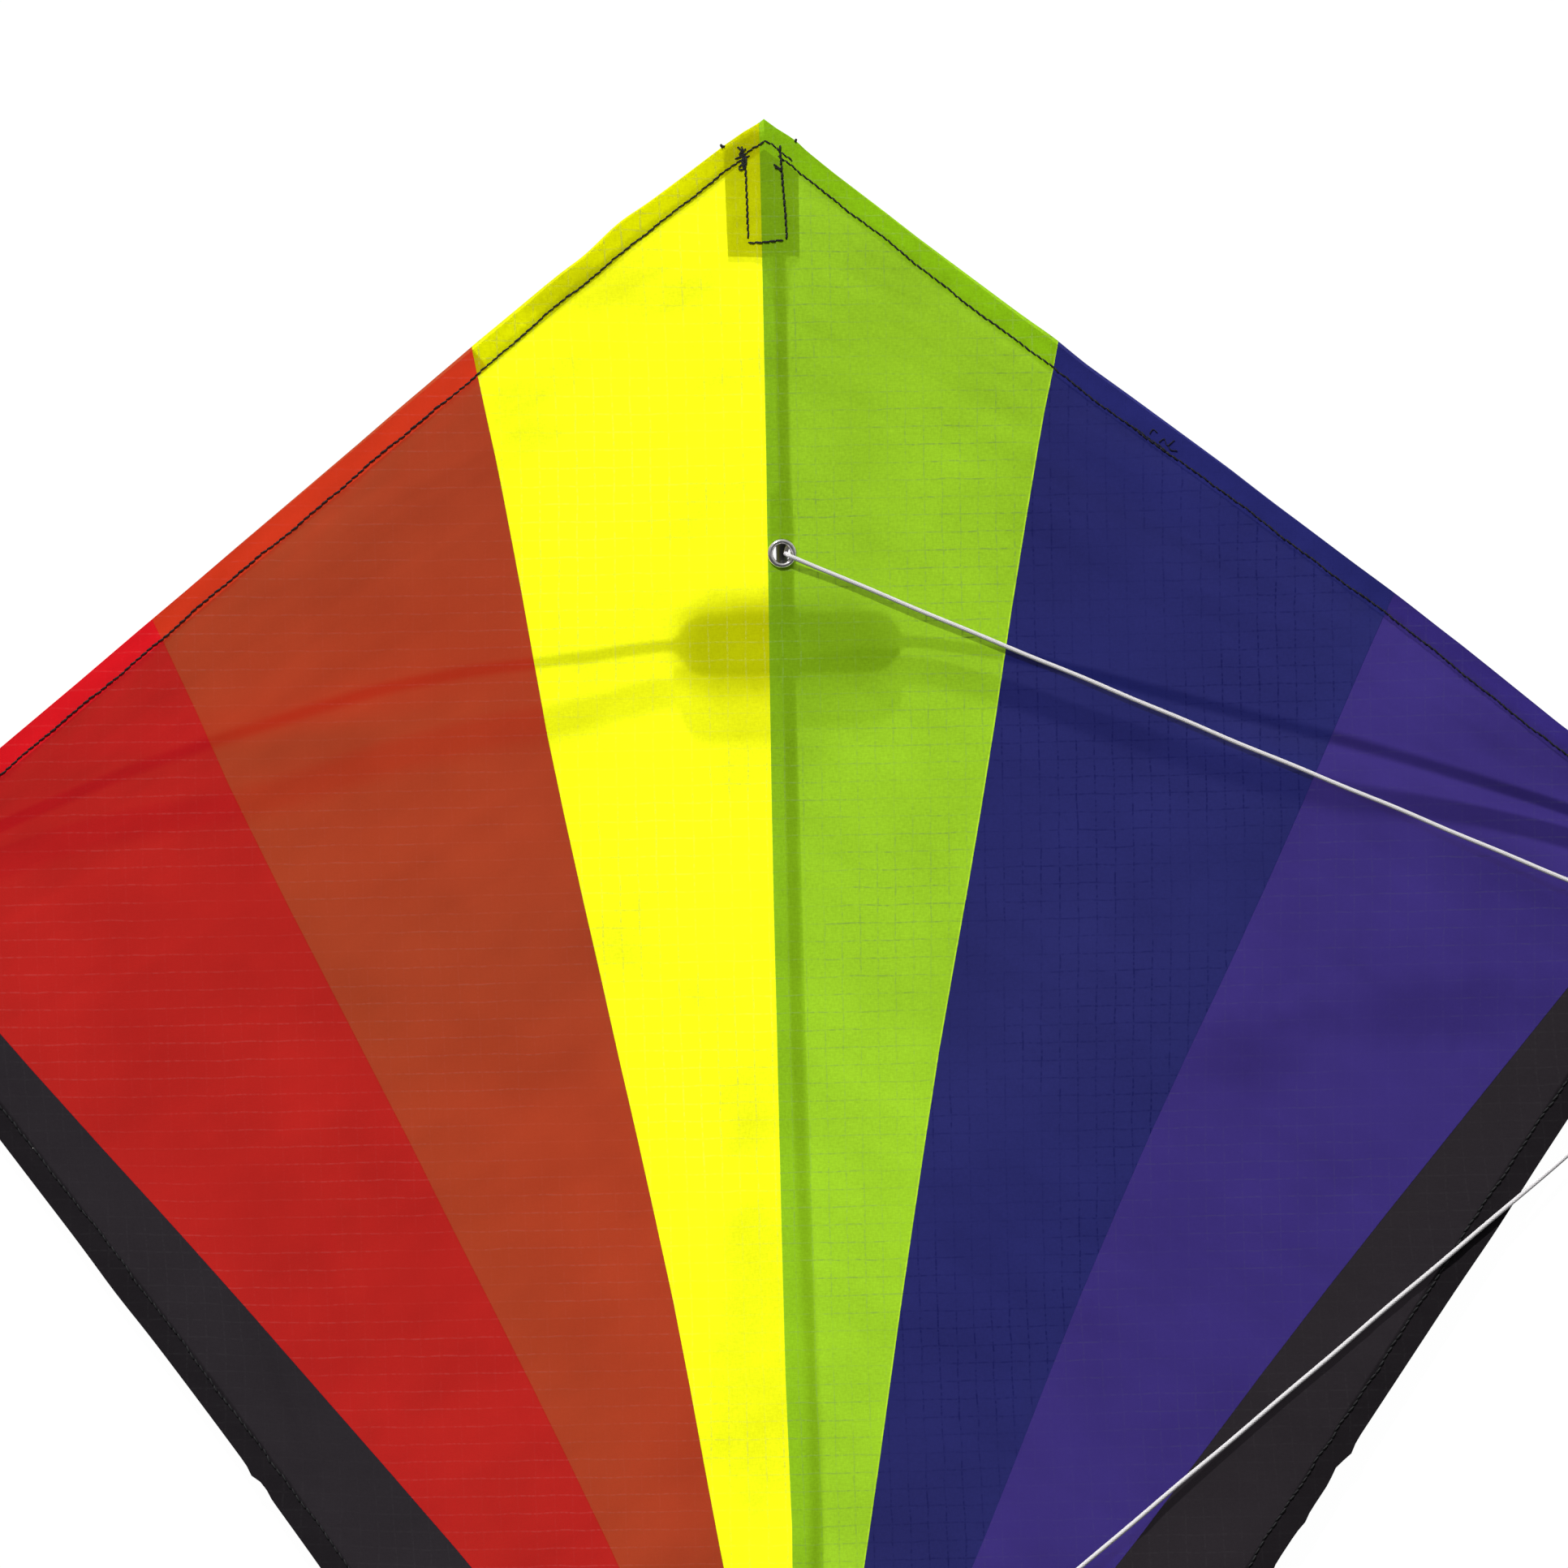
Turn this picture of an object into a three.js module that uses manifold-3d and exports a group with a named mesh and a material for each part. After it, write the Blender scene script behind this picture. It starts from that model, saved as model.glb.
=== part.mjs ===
// Diamond kite: ripstop sail in six coloured gores with a black lower trim, a rod
// spine, two half spars in a moulded dihedral connector, and a two-leg bridle.
// It lies face up on a flat surface, on its two wing tips and its tail.
// Millimetres. +Z up, +Y towards the nose, +X to the right of the face.
import * as THREE from 'three';
import { mergeVertices } from 'three/addons/utils/BufferGeometryUtils.js';
import Module from 'manifold-3d';

const wasm = await Module();
wasm.setup();

// ---- driving dimensions -------------------------------------------------
const HALF_SPAN = 325;          // spine line to wing tip, seen square on
const TIP_DOWN = 256.5;         // nose to the wing-tip line
const HEIGHT = 724;             // nose to tail corner
const DIHEDRAL = THREE.MathUtils.degToRad(7.5);   // each wing drops back by this
const FOLD_X = -1.5;            // centre seam, where the two wings are sewn together
const SPINE_X = 3.3;            // spine rod, a little right of the seam
const SPINE_Z = -6.0;           // spine rod axis below the seam
const ROD_R = 2.0;              // 4 mm rods
const GAP = 0.3;                // air between pieces that touch on the real kite
const CLOTH = 0.6;              // sail panel solid
const CONVERGE = 622.7;         // all gore seams run to this height on the centre line
const SEAM_1 = [98.5, 76.2];    // inner gore seam on the leading edge
const SEAM_2 = [209.2, 165.1];  // outer gore seam on the leading edge
const SEAM_3 = [312, 246];      // top end of the black trim
const HEM_W = 8;
const CONNECTOR_Y = 176.9;      // centre connector down the spine
const CONNECTOR_HALF = 38.5;
const CONNECTOR_H = 20.6;
const SPAR_END = [314, 255];    // outer end of a half spar
const SPAR_END_SLOPE = 0.33;
const EYELET_R = 5.0, EYELET_HOLE = 2.8;
const EYELET_UP = 146.4, EYELET_LOW = 566;
const CORD_R = 0.75;            // 1.5 mm braided bridle line
const TOW = [341.4, 294.2];     // where the two bridle legs meet
const RING_R = 6.2, RING_WIRE = 0.8;

// ---- materials ----------------------------------------------------------
const mat = (c, r = 0.7, m = 0) => new THREE.MeshStandardMaterial({ color: c, roughness: r, metalness: m });
const RED = mat(0xb82521), ORANGE = mat(0xa94127), YELLOW = mat(0xfffc1c), GREEN = mat(0x9ccc2a);
const BLUE = mat(0x262867), PURPLE = mat(0x3c2f77), BLACK = mat(0x2c2a2e);
const ROD = mat(0x16161a, 0.35), VINYL = mat(0x101012, 0.5), MOULD = mat(0x1a1a1d, 0.5);
const NICKEL = mat(0xd8d8d8, 0.2, 1), LINE = mat(0xd8d8d2, 0.8), WEBBING = mat(0x1c1c20, 0.9);

// ---- helpers ------------------------------------------------------------
const solid = (g) => {
  const c = g.clone();
  for (const n of Object.keys(c.attributes)) if (n !== 'position') c.deleteAttribute(n);
  const m = mergeVertices(c, 1e-4);
  return new wasm.Manifold(new wasm.Mesh({
    numProp: 3,
    vertProperties: new Float32Array(m.attributes.position.array),
    triVerts: new Uint32Array(m.index.array),
  }));
};
const geometry = (s) => {
  const m = s.getMesh(), g = new THREE.BufferGeometry(), p = new Float32Array(m.numVert * 3);
  for (let i = 0; i < m.numVert; i++) for (let k = 0; k < 3; k++) p[3 * i + k] = m.vertProperties[m.numProp * i + k];
  g.setAttribute('position', new THREE.BufferAttribute(p, 3));
  g.setIndex(new THREE.BufferAttribute(new Uint32Array(m.triVerts), 1));
  g.computeVertexNormals();
  return g;
};
const add = (group, name, geo, material) => {
  const m = new THREE.Mesh(geo, material);
  m.name = name;
  group.add(m);
  return m;
};
// keeps the part of a convex polygon where a*x + b*y <= c
const clip = (poly, a, b, c) => {
  const out = [];
  poly.forEach((p, i) => {
    const q = poly[(i + 1) % poly.length];
    const dp = a * p[0] + b * p[1] - c, dq = a * q[0] + b * q[1] - c;
    if (dp <= 0) out.push(p);
    if (dp * dq < 0) {
      const t = dp / (dp - dq);
      out.push([p[0] + t * (q[0] - p[0]), p[1] + t * (q[1] - p[1])]);
    }
  });
  return out;
};
const area2 = (poly) => poly.reduce((s, p, i) => {
  const q = poly[(i + 1) % poly.length];
  return s + p[0] * q[1] - p[1] * q[0];
}, 0);
const ccw = (poly) => (area2(poly) < 0 ? [...poly].reverse() : poly);
const inset = (poly, d) => {
  const edges = ccw(poly);
  let out = edges;
  edges.forEach((p, i) => {
    const q = edges[(i + 1) % edges.length];
    const l = Math.hypot(q[0] - p[0], q[1] - p[1]);
    if (l < 1e-6) return;
    const a = (q[1] - p[1]) / l, b = -(q[0] - p[0]) / l;
    out = clip(out, a, b, a * p[0] + b * p[1] - d);
  });
  return out;
};
const plate = (poly, top, thick, holes = []) => {
  const s = new THREE.Shape(poly.map((p) => new THREE.Vector2(...p)));
  for (const [x, y, r] of holes) {
    const h = [];
    for (let i = 0; i < 24; i++) h.push(new THREE.Vector2(x + r * Math.cos(-i * Math.PI / 12), y + r * Math.sin(-i * Math.PI / 12)));
    s.holes.push(new THREE.Path(h));
  }
  const g = new THREE.ExtrudeGeometry(s, { depth: thick, bevelEnabled: false });
  g.translate(0, 0, top - thick);
  return g;
};
const circle = (r, n) => {
  const p = [];
  for (let i = 0; i < n; i++) p.push(new THREE.Vector2(r * Math.cos(2 * Math.PI * i / n), r * Math.sin(2 * Math.PI * i / n)));
  return new THREE.Shape(p);
};
const tube = (points, r, sides, steps) => new THREE.ExtrudeGeometry(circle(r, sides), {
  steps, bevelEnabled: false,
  extrudePath: new THREE.CatmullRomCurve3(points, false, 'centripetal'),
});
// cup with a blind bore that opens at +Y, closed end at y = 0
const endCap = (len) => {
  const g = new THREE.LatheGeometry([[0, 0], [2.3, 0], [2.9, 0.6], [2.9, len], [2.3, len], [2.3, 1.5], [0, 1.5]]
    .map((p) => new THREE.Vector2(...p)), 20);
  return g;
};

// ---- groups: the whole kite, then each wing's own plane -------------------
const group = new THREE.Group();
const kite = new THREE.Group();
group.add(kite);
const wing = (sign) => {
  const g = new THREE.Group();
  g.position.set(FOLD_X, 0, 0);
  g.rotation.y = sign * DIHEDRAL;
  kite.add(g);
  return g;
};
const left = wing(-1), right = wing(1);
const COS = Math.cos(DIHEDRAL), SIN = Math.sin(DIHEDRAL);
// face position (x right, y down from the nose, seen square on) to the wing's plane
const W = ([x, y]) => [(x - FOLD_X) / COS, -y];

const lead = (x) => Math.abs(x) * TIP_DOWN / HALF_SPAN;
const trail = (x) => HEIGHT - Math.abs(x) * (HEIGHT - TIP_DOWN) / HALF_SPAN;
const seamAt = (p, x) => CONVERGE - Math.abs(x) * (CONVERGE - p[1]) / p[0];
const seamLow = (p, x) => CONVERGE + Math.abs(x) * (CONVERGE - p[1]) / p[0];
const L = (p) => [-p[0], p[1]];
const F = FOLD_X;

// ---- sail gores and trim --------------------------------------------------
const eyeletAt = [(SPINE_X - F) / COS, 0];
const sheets = {
  panel_yellow: [left, YELLOW, [[F, lead(F)], L(SEAM_1), [F, seamAt(SEAM_1, F)]]],
  panel_orange: [left, ORANGE, [L(SEAM_1), L(SEAM_2), [F, seamAt(SEAM_2, F)], [F, seamAt(SEAM_1, F)]]],
  panel_red: [left, RED, [L(SEAM_2), L(SEAM_3), [F, seamAt(SEAM_3, F)], [F, seamAt(SEAM_2, F)]]],
  trim_left: [left, BLACK, [L(SEAM_3), [-HALF_SPAN, TIP_DOWN], [F, trail(F)], [F, seamAt(SEAM_3, F)]]],
  panel_green: [right, GREEN, [[F, lead(F)], [0, 0], SEAM_1, [0, CONVERGE], [F, seamLow(SEAM_3, F)]]],
  panel_blue: [right, BLUE, [SEAM_1, SEAM_2, [0, CONVERGE]]],
  panel_purple: [right, PURPLE, [SEAM_2, SEAM_3, [0, CONVERGE]]],
  trim_right: [right, BLACK, [SEAM_3, [HALF_SPAN, TIP_DOWN], [0, HEIGHT], [F, trail(F)], [F, seamLow(SEAM_3, F)]]],
};
for (const [name, [w, m, poly]] of Object.entries(sheets)) {
  const holes = name === 'panel_green'
    ? [EYELET_UP, EYELET_LOW].map((y) => [eyeletAt[0], -y, 3.6]) : [];
  add(w, name, plate(inset(poly.map(W), 0.15), CLOTH / 2, CLOTH, holes), m);
}

// ---- folded hems behind the sail's edges -----------------------------------
const outline = (sign) => sign < 0
  ? [[F, lead(F)], [-HALF_SPAN, TIP_DOWN], [F, trail(F)]]
  : [[F, lead(F)], [0, 0], [HALF_SPAN, TIP_DOWN], [0, HEIGHT], [F, trail(F)]];
// half plane on the inner side of an edge a to b, d in from it
const inside = (a, b, d, ref) => {
  const l = Math.hypot(b[0] - a[0], b[1] - a[1]);
  let n = [(b[1] - a[1]) / l, -(b[0] - a[0]) / l];
  let c = n[0] * a[0] + n[1] * a[1];
  if (n[0] * ref[0] + n[1] * ref[1] > c) { n = [-n[0], -n[1]]; c = -c; }
  return [n[0], n[1], c - d];
};
const flip = ([a, b, c]) => [-a, -b, -c];
const HEM_TOP = -(CLOTH / 2 + GAP), HEM_T = 0.3;
for (const sign of [-1, 1]) {
  const side = sign < 0 ? 'left' : 'right', w = sign < 0 ? left : right;
  const face = outline(sign).map(W);
  const N = W([0, 0]), T = W([sign * HALF_SPAN, TIP_DOWN]), B = W([0, HEIGHT]), mid = W([sign * 100, 300]);
  const from = (d) => (sign < 0 ? [1, 0, -d] : [-1, 0, -d]);
  let lh = clip(face, ...inside(N, T, 0.2, mid));
  lh = clip(lh, ...flip(inside(N, T, HEM_W, mid)));
  lh = clip(lh, ...inside(T, B, 0.2, mid));
  lh = clip(lh, ...from(14.2));
  add(w, `leading_hem_${side}`, plate(ccw(lh), HEM_TOP, HEM_T), sign < 0 ? RED : BLUE);
  let th = clip(face, ...inside(T, B, 0.2, mid));
  th = clip(th, ...flip(inside(T, B, HEM_W, mid)));
  th = clip(th, ...inside(N, T, HEM_W + 0.3, mid));
  th = clip(th, ...from(12));
  add(w, `trailing_hem_${side}`, plate(ccw(th), HEM_TOP, HEM_T), BLACK);
}

// ---- spine: seam tape, rod and its end caps --------------------------------
// the tape, its patches and the eyelets lie in the right wing's plane at rest
const spinePlane = new THREE.Group();
spinePlane.position.copy(right.position);
spinePlane.rotation.copy(right.rotation);
kite.add(spinePlane);
const TAPE_TOP = -(CLOTH / 2 + GAP);
let tape = clip(inset(sheets.panel_green[2].map(W), 0.6), -1, 0, -0.3);
tape = clip(tape, 1, 0, 10);
tape = clip(tape, 0, 1, -48);
tape = clip(tape, 0, -1, 612);
const holesAt = (ys) => ys.map((y) => [eyeletAt[0], -y, 3.6]);
add(spinePlane, 'spine_seam_tape', plate(ccw(tape), TAPE_TOP, 0.3, holesAt([EYELET_UP, EYELET_LOW])), GREEN);
const stadium = (cx, y0, y1, r) => {
  const p = [];
  for (let i = 0; i <= 12; i++) p.push([cx + r * Math.cos(Math.PI * i / 12), -y0 - r + r * Math.sin(Math.PI * i / 12)]);
  for (let i = 0; i <= 12; i++) p.push([cx - r * Math.cos(Math.PI * i / 12), -y1 + r - r * Math.sin(Math.PI * i / 12)]);
  return p;
};
const PATCH_TOP = TAPE_TOP - 0.3 - GAP;
add(spinePlane, 'eyelet_patch_upper', plate(ccw(stadium(eyeletAt[0], 124, 181.6, 4)), PATCH_TOP, 0.3, holesAt([EYELET_UP])), GREEN);
add(spinePlane, 'eyelet_patch_lower', plate(ccw(stadium(eyeletAt[0], 530, 581, 4)), PATCH_TOP, 0.3, holesAt([EYELET_LOW])), GREEN);
const eyelet = () => {
  // front lip, barrel through the cloth, rolled back flange
  const p = [[EYELET_HOLE, 0.75], [3.1, 1.1], [3.8, 1.25], [4.5, 1.1], [EYELET_R, 0.6], [3.3, 0.6],
    [3.3, -1.8], [4.6, -1.8], [4.6, -2.05], [4.2, -2.3], [EYELET_HOLE, -2.3], [EYELET_HOLE, 0.75]];
  const g = new THREE.LatheGeometry(p.map((q) => new THREE.Vector2(...q)).reverse(), 28);
  g.rotateX(Math.PI / 2);
  return g;
};
for (const [name, y] of [['eyelet_upper', EYELET_UP], ['eyelet_lower', EYELET_LOW]]) {
  const m = add(spinePlane, name, eyelet(), NICKEL);
  m.position.set(eyeletAt[0], -y, 0);
}
const NOSE_CAP = 9.5, TAIL_CAP = 711;
const rodLen = TAIL_CAP - NOSE_CAP - 2 * 1.8;
const rod = add(kite, 'spine_rod', new THREE.CylinderGeometry(ROD_R, ROD_R, rodLen, 16), ROD);
rod.position.set(SPINE_X, -(NOSE_CAP + TAIL_CAP) / 2, SPINE_Z);
const capN = add(kite, 'spine_cap_nose', endCap(14), VINYL);
capN.rotation.z = Math.PI;
capN.position.set(SPINE_X, -NOSE_CAP, SPINE_Z);
const capT = add(kite, 'spine_cap_tail', endCap(14), VINYL);
capT.position.set(SPINE_X, -TAIL_CAP, SPINE_Z);

// bridle loops tied round the rod behind each eyelet
const loop = () => new THREE.LatheGeometry([[2.3, -1.5], [3.2, -1.5], [3.6, -0.9], [3.6, 0.9], [3.2, 1.5], [2.3, 1.5], [2.3, -1.5]]
  .map((p) => new THREE.Vector2(...p)), 20);
for (const [name, y] of [['bridle_loop_upper', EYELET_UP - 8.5], ['bridle_loop_lower', EYELET_LOW + 8.5]]) {
  const m = add(kite, name, loop(), LINE);
  m.position.set(SPINE_X, -y, SPINE_Z);
}

// ---- pockets: cloth channels that hold the rod ends -------------------------
// hat section across x, run along -Y from y = 0; closed end wall at y = 0
const channel = ({ axisX, axisZ, topL, topR, flangeL, flangeR, len, inner = 3.2, wall = 0.45 }) => {
  const xl = axisX - inner, xr = axisX + inner, low = axisZ - inner;
  const poly = [];
  const out = [[xl, topL(xl)], [xl, low], [xr, low], [xr, topR(xr)]];
  if (flangeL !== null) poly.push([flangeL, topL(flangeL)]);
  poly.push(...out);
  if (flangeR !== null) poly.push([flangeR, topR(flangeR)], [flangeR, topR(flangeR) - wall], [xr + wall, topR(xr + wall) - wall]);
  else poly.push([xr + wall, topR(xr)]);
  poly.push([xr + wall, low - wall], [xl - wall, low - wall]);
  if (flangeL !== null) poly.push([xl - wall, topL(xl - wall) - wall], [flangeL, topL(flangeL) - wall]);
  else poly.push([xl - wall, topL(xl)]);
  const side = new THREE.ExtrudeGeometry(new THREE.Shape(ccw(poly).map((p) => new THREE.Vector2(...p))), { depth: len, bevelEnabled: false });
  side.rotateX(Math.PI / 2);
  const t = Math.min(topL(xl - wall), topR(xr + wall));
  const end = new THREE.ExtrudeGeometry(new THREE.Shape([[xl - wall, low - wall], [xr + wall, low - wall], [xr + wall, t], [xl - wall, t]]
    .map((p) => new THREE.Vector2(...p))), { depth: wall, bevelEnabled: false });
  end.rotateX(Math.PI / 2);
  return solid(side).add(solid(end));
};
const prism = (poly, z0, z1) => solid(plate(ccw(poly), z1, z1 - z0));
const faceDiamond = inset([[0, 0], [HALF_SPAN, -TIP_DOWN], [0, -HEIGHT], [-HALF_SPAN, -TIP_DOWN]], 0.6);
const noseTop = (x) => -Math.abs(x - F) * Math.tan(DIHEDRAL) - (CLOTH / 2 + GAP) / COS;
const nose = channel({ axisX: SPINE_X, axisZ: SPINE_Z, topL: noseTop, topR: noseTop, flangeL: -12.8, flangeR: 11.1, len: 38 })
  .translate([0, -(NOSE_CAP - GAP - 0.45), 0]).intersect(prism(faceDiamond, -20, 5));
add(kite, 'nose_pocket', geometry(nose), YELLOW);
const tailTop = () => SPINE_Z + 2.6;
const tailLen = 40;
const tail = channel({ axisX: SPINE_X, axisZ: SPINE_Z, topL: tailTop, topR: tailTop, flangeL: null, flangeR: null, len: tailLen })
  .scale([1, -1, 1]).translate([0, -(TAIL_CAP + GAP + 0.45), 0]);
add(kite, 'tail_pocket', geometry(tail), BLACK);

// ribbon loop sewn under the tail pocket, for a tail or streamer
const LOOP_T = 0.6, LOOP_W = 8, LOOP_IN = 3.4, LOOP_LEN = 24;
const ribbonTop = 1.5 - LOOP_IN;
const ribbon = [[2, -LOOP_IN - LOOP_T], [2, -LOOP_IN], [-LOOP_LEN, -LOOP_IN]];
const outer = [[-LOOP_LEN, -LOOP_IN - LOOP_T]];
for (let i = 1; i < 12; i++) {
  const a = Math.PI * i / 12;
  ribbon.push([-LOOP_LEN - LOOP_IN * Math.sin(a), -LOOP_IN * Math.cos(a)]);
  outer.push([-LOOP_LEN - (LOOP_IN + LOOP_T) * Math.sin(a), -(LOOP_IN + LOOP_T) * Math.cos(a)]);
}
ribbon.push([-LOOP_LEN, LOOP_IN], [2, ribbonTop], [2, ribbonTop + LOOP_T], [-LOOP_LEN, LOOP_IN + LOOP_T]);
const loopGeo = new THREE.ExtrudeGeometry(new THREE.Shape([...ribbon, ...outer.reverse()].map((p) => new THREE.Vector2(...p))),
  { depth: LOOP_W, bevelEnabled: false });
loopGeo.translate(0, 0, -LOOP_W / 2);
// profile runs on Y and Z, the ribbon's width on X
loopGeo.applyMatrix4(new THREE.Matrix4().makeBasis(new THREE.Vector3(0, 1, 0), new THREE.Vector3(0, 0, 1), new THREE.Vector3(1, 0, 0)));
const tailLoop = add(kite, 'tail_loop', loopGeo, WEBBING);
tailLoop.position.set(SPINE_X, -(TAIL_CAP + GAP + 0.45 + GAP + 2), SPINE_Z - 3.65 + LOOP_IN + LOOP_T);

// ---- centre connector: oval plate bent to the dihedral, two sockets, spine bore ----
const half = (sign) => {
  const oval = [];
  const r = CONNECTOR_H / 2;
  for (let i = 0; i <= 16; i++) {
    const a = -Math.PI / 2 + Math.PI * i / 16;
    oval.push([CONNECTOR_HALF - r + r * Math.cos(a), r * Math.sin(a)]);
  }
  oval.push([-0.6, r], [-0.6, -r]);
  const base = solid(plate(ccw(oval.map(([x, y]) => [sign * x, y])), -0.6, 2.4));
  const arm = new THREE.CylinderGeometry(3.2, 3.2, CONNECTOR_HALF, 20);
  arm.rotateZ(Math.PI / 2).translate(sign * CONNECTOR_HALF / 2, 0, 0);
  return base.add(solid(arm)).rotate([0, sign * THREE.MathUtils.radToDeg(DIHEDRAL), 0]);
};
const bore = (sign) => {
  const g = new THREE.CylinderGeometry(ROD_R + GAP, ROD_R + GAP, CONNECTOR_HALF, 20);
  g.rotateZ(Math.PI / 2).translate(sign * (6.5 + CONNECTOR_HALF / 2), 0, 0);
  return solid(g).rotate([0, sign * THREE.MathUtils.radToDeg(DIHEDRAL), 0]);
};
const boss = solid(new THREE.CylinderGeometry(3.6, 3.6, CONNECTOR_H + 3, 20));
const pad = solid(new THREE.BoxGeometry(12, 12, 3).translate(0, 0, -3.1));
let connector = half(1).add(half(-1)).add(boss).add(pad);
connector = connector.subtract(solid(new THREE.CylinderGeometry(ROD_R + GAP, ROD_R + GAP, 40, 20))).subtract(bore(1)).subtract(bore(-1));
const hub = add(kite, 'centre_connector', geometry(connector), MOULD);
hub.position.set(SPINE_X, -CONNECTOR_Y, SPINE_Z);

// ---- half spars, their caps and the wing-tip pockets -------------------------
const spars = {};
for (const sign of [-1, 1]) {
  const side = sign < 0 ? 'left' : 'right', w = sign < 0 ? left : right;
  // a point of the kite's frame in this wing's plane
  const local = (x, y, z) => new THREE.Vector3(x, y, z).sub(w.position).applyEuler(new THREE.Euler(0, -sign * DIHEDRAL, 0));
  const root = local(SPINE_X + sign * 7 * COS, -CONNECTOR_Y, SPINE_Z - 7 * SIN);
  const mouth = local(SPINE_X + sign * CONNECTOR_HALF * COS, -CONNECTOR_Y, SPINE_Z - CONNECTOR_HALF * SIN);
  const capOut = new THREE.Vector3(...W([sign * SPAR_END[0], SPAR_END[1]]), -4.15);
  const slope = SPAR_END_SLOPE * COS;
  const out = new THREE.Vector3(sign, -slope, 0).normalize();
  const end = capOut.clone().addScaledVector(out, -1.8);
  const run = Math.abs(end.x - mouth.x), drop = mouth.y - end.y;
  const b = slope * run - 2 * drop, a = drop - b;
  const pts = [root, root.clone().lerp(mouth, 0.5), mouth.clone()];
  for (let i = 1; i <= 24; i++) {
    const u = i / 24;
    pts.push(new THREE.Vector3(mouth.x + sign * run * u, mouth.y - (a * u * u + b * u ** 3),
      THREE.MathUtils.lerp(mouth.z, end.z, u * u * (3 - 2 * u)) - 3.5 * 16 * u * u * (1 - u) * (1 - u)));
  }
  spars[side] = pts;
  add(w, `spar_${side}`, tube(pts, ROD_R, 12, 44), ROD);
  const cap = add(w, `spar_cap_${side}`, endCap(12), VINYL);
  cap.quaternion.setFromUnitVectors(new THREE.Vector3(0, 1, 0), out.clone().negate());
  cap.position.copy(capOut);
  const top = () => -(CLOTH / 2 + GAP + 0.3 + GAP);
  const pocket = channel({ axisX: 0, axisZ: -4.15, topL: top, topR: top, flangeL: -9, flangeR: 9, len: 30 })
    .translate([0, GAP + 0.45, 0])
    .rotate([0, 0, THREE.MathUtils.radToDeg(sign < 0 ? Math.PI / 2 + Math.atan(slope) : -(Math.PI / 2 + Math.atan(slope)))])
    .translate([capOut.x, capOut.y, 0])
    .intersect(prism(inset(outline(sign).map(W), 0.6), -20, 5));
  add(w, `tip_pocket_${side}`, geometry(pocket), BLACK);
}

// ---- lay the kite down: turn it until tips and tail meet the floor together ----
group.updateMatrixWorld(true);
const lowest = (names, angle) => {
  let low = Infinity;
  const v = new THREE.Vector3();
  group.traverse((o) => {
    if (!o.isMesh || !names.test(o.name)) return;
    const p = o.geometry.attributes.position;
    for (let i = 0; i < p.count; i++) {
      v.fromBufferAttribute(p, i).applyMatrix4(o.matrixWorld);
      low = Math.min(low, v.y * Math.sin(angle) + v.z * Math.cos(angle));
    }
  });
  return low;
};
let lo = 0, hi = 0.3;
for (let i = 0; i < 50; i++) {
  const a = (lo + hi) / 2;
  if (lowest(/^tip_pocket/, a) < lowest(/^tail_(pocket|loop)/, a)) lo = a; else hi = a;
}
const TILT = (lo + hi) / 2;
kite.rotation.x = TILT;
group.updateMatrixWorld(true);
const box = new THREE.Box3().setFromObject(group, true);
const centre = box.getCenter(new THREE.Vector3());
kite.position.set(-centre.x, -centre.y, -box.min.z);
group.updateMatrixWorld(true);

// ---- bridle: two legs lying over the right wing, a tow ring on the floor beside it ----
const toRow = (v) => v.clone().applyMatrix4(kite.matrixWorld);
const toKite = new THREE.Matrix4().copy(kite.matrixWorld).invert();
// the legs turn about a line through both eyelets
const PIVOT = new THREE.Vector3(SPINE_X + 0.2, 0, 1.95);
const bridle = new THREE.Group();
group.add(bridle);
const KNOT_R = 2.2;
// tow point on the floor, in the part's own frame
const floorAt = (x, y, h) => {
  // the point of the part's own frame seen at (x, y) of the face, h above the floor
  const p = toRow(new THREE.Vector3(x, -y, 0)), n = new THREE.Vector3(0, -Math.sin(TILT), Math.cos(TILT));
  return p.addScaledVector(n, (h - p.z) / n.z);
};
const knot = floorAt(...TOW, KNOT_R + 0.05);
const dirOut = new THREE.Vector3(0.985, 0.17, 0).normalize();
const dirSide = new THREE.Vector3(-dirOut.y, dirOut.x, 0);
const collar = new THREE.LatheGeometry([[1.1, -2], [1.9, -2], [KNOT_R, -1.5], [KNOT_R, 1.5], [1.9, 2], [1.1, 2], [1.1, -2]]
  .map((p) => new THREE.Vector2(...p)), 18);
const collarMesh = add(bridle, 'bridle_tow_knot', collar, LINE);
collarMesh.quaternion.setFromUnitVectors(new THREE.Vector3(0, 1, 0), dirSide);
collarMesh.position.copy(knot);
const fall = Math.asin((KNOT_R + 0.05 - RING_WIRE - 0.05) / (2 * RING_R));
const wire = [];
for (let i = 0; i <= 8; i++) {
  const a = -Math.PI / 8 - i * Math.PI / 4;
  wire.push(new THREE.Vector2(RING_R + RING_WIRE * Math.cos(a), RING_WIRE * Math.sin(a)));
}
const ringGeo = new THREE.LatheGeometry(wire.reverse(), 32);
ringGeo.rotateX(Math.PI / 2);
const ring = add(bridle, 'tow_ring', ringGeo, NICKEL);
const ringX = dirOut.clone().multiplyScalar(Math.cos(fall)).setZ(-Math.sin(fall));
ring.quaternion.setFromRotationMatrix(new THREE.Matrix4().makeBasis(ringX, dirSide, new THREE.Vector3().crossVectors(ringX, dirSide)));
ring.position.copy(knot).addScaledVector(ringX, RING_R);

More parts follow.
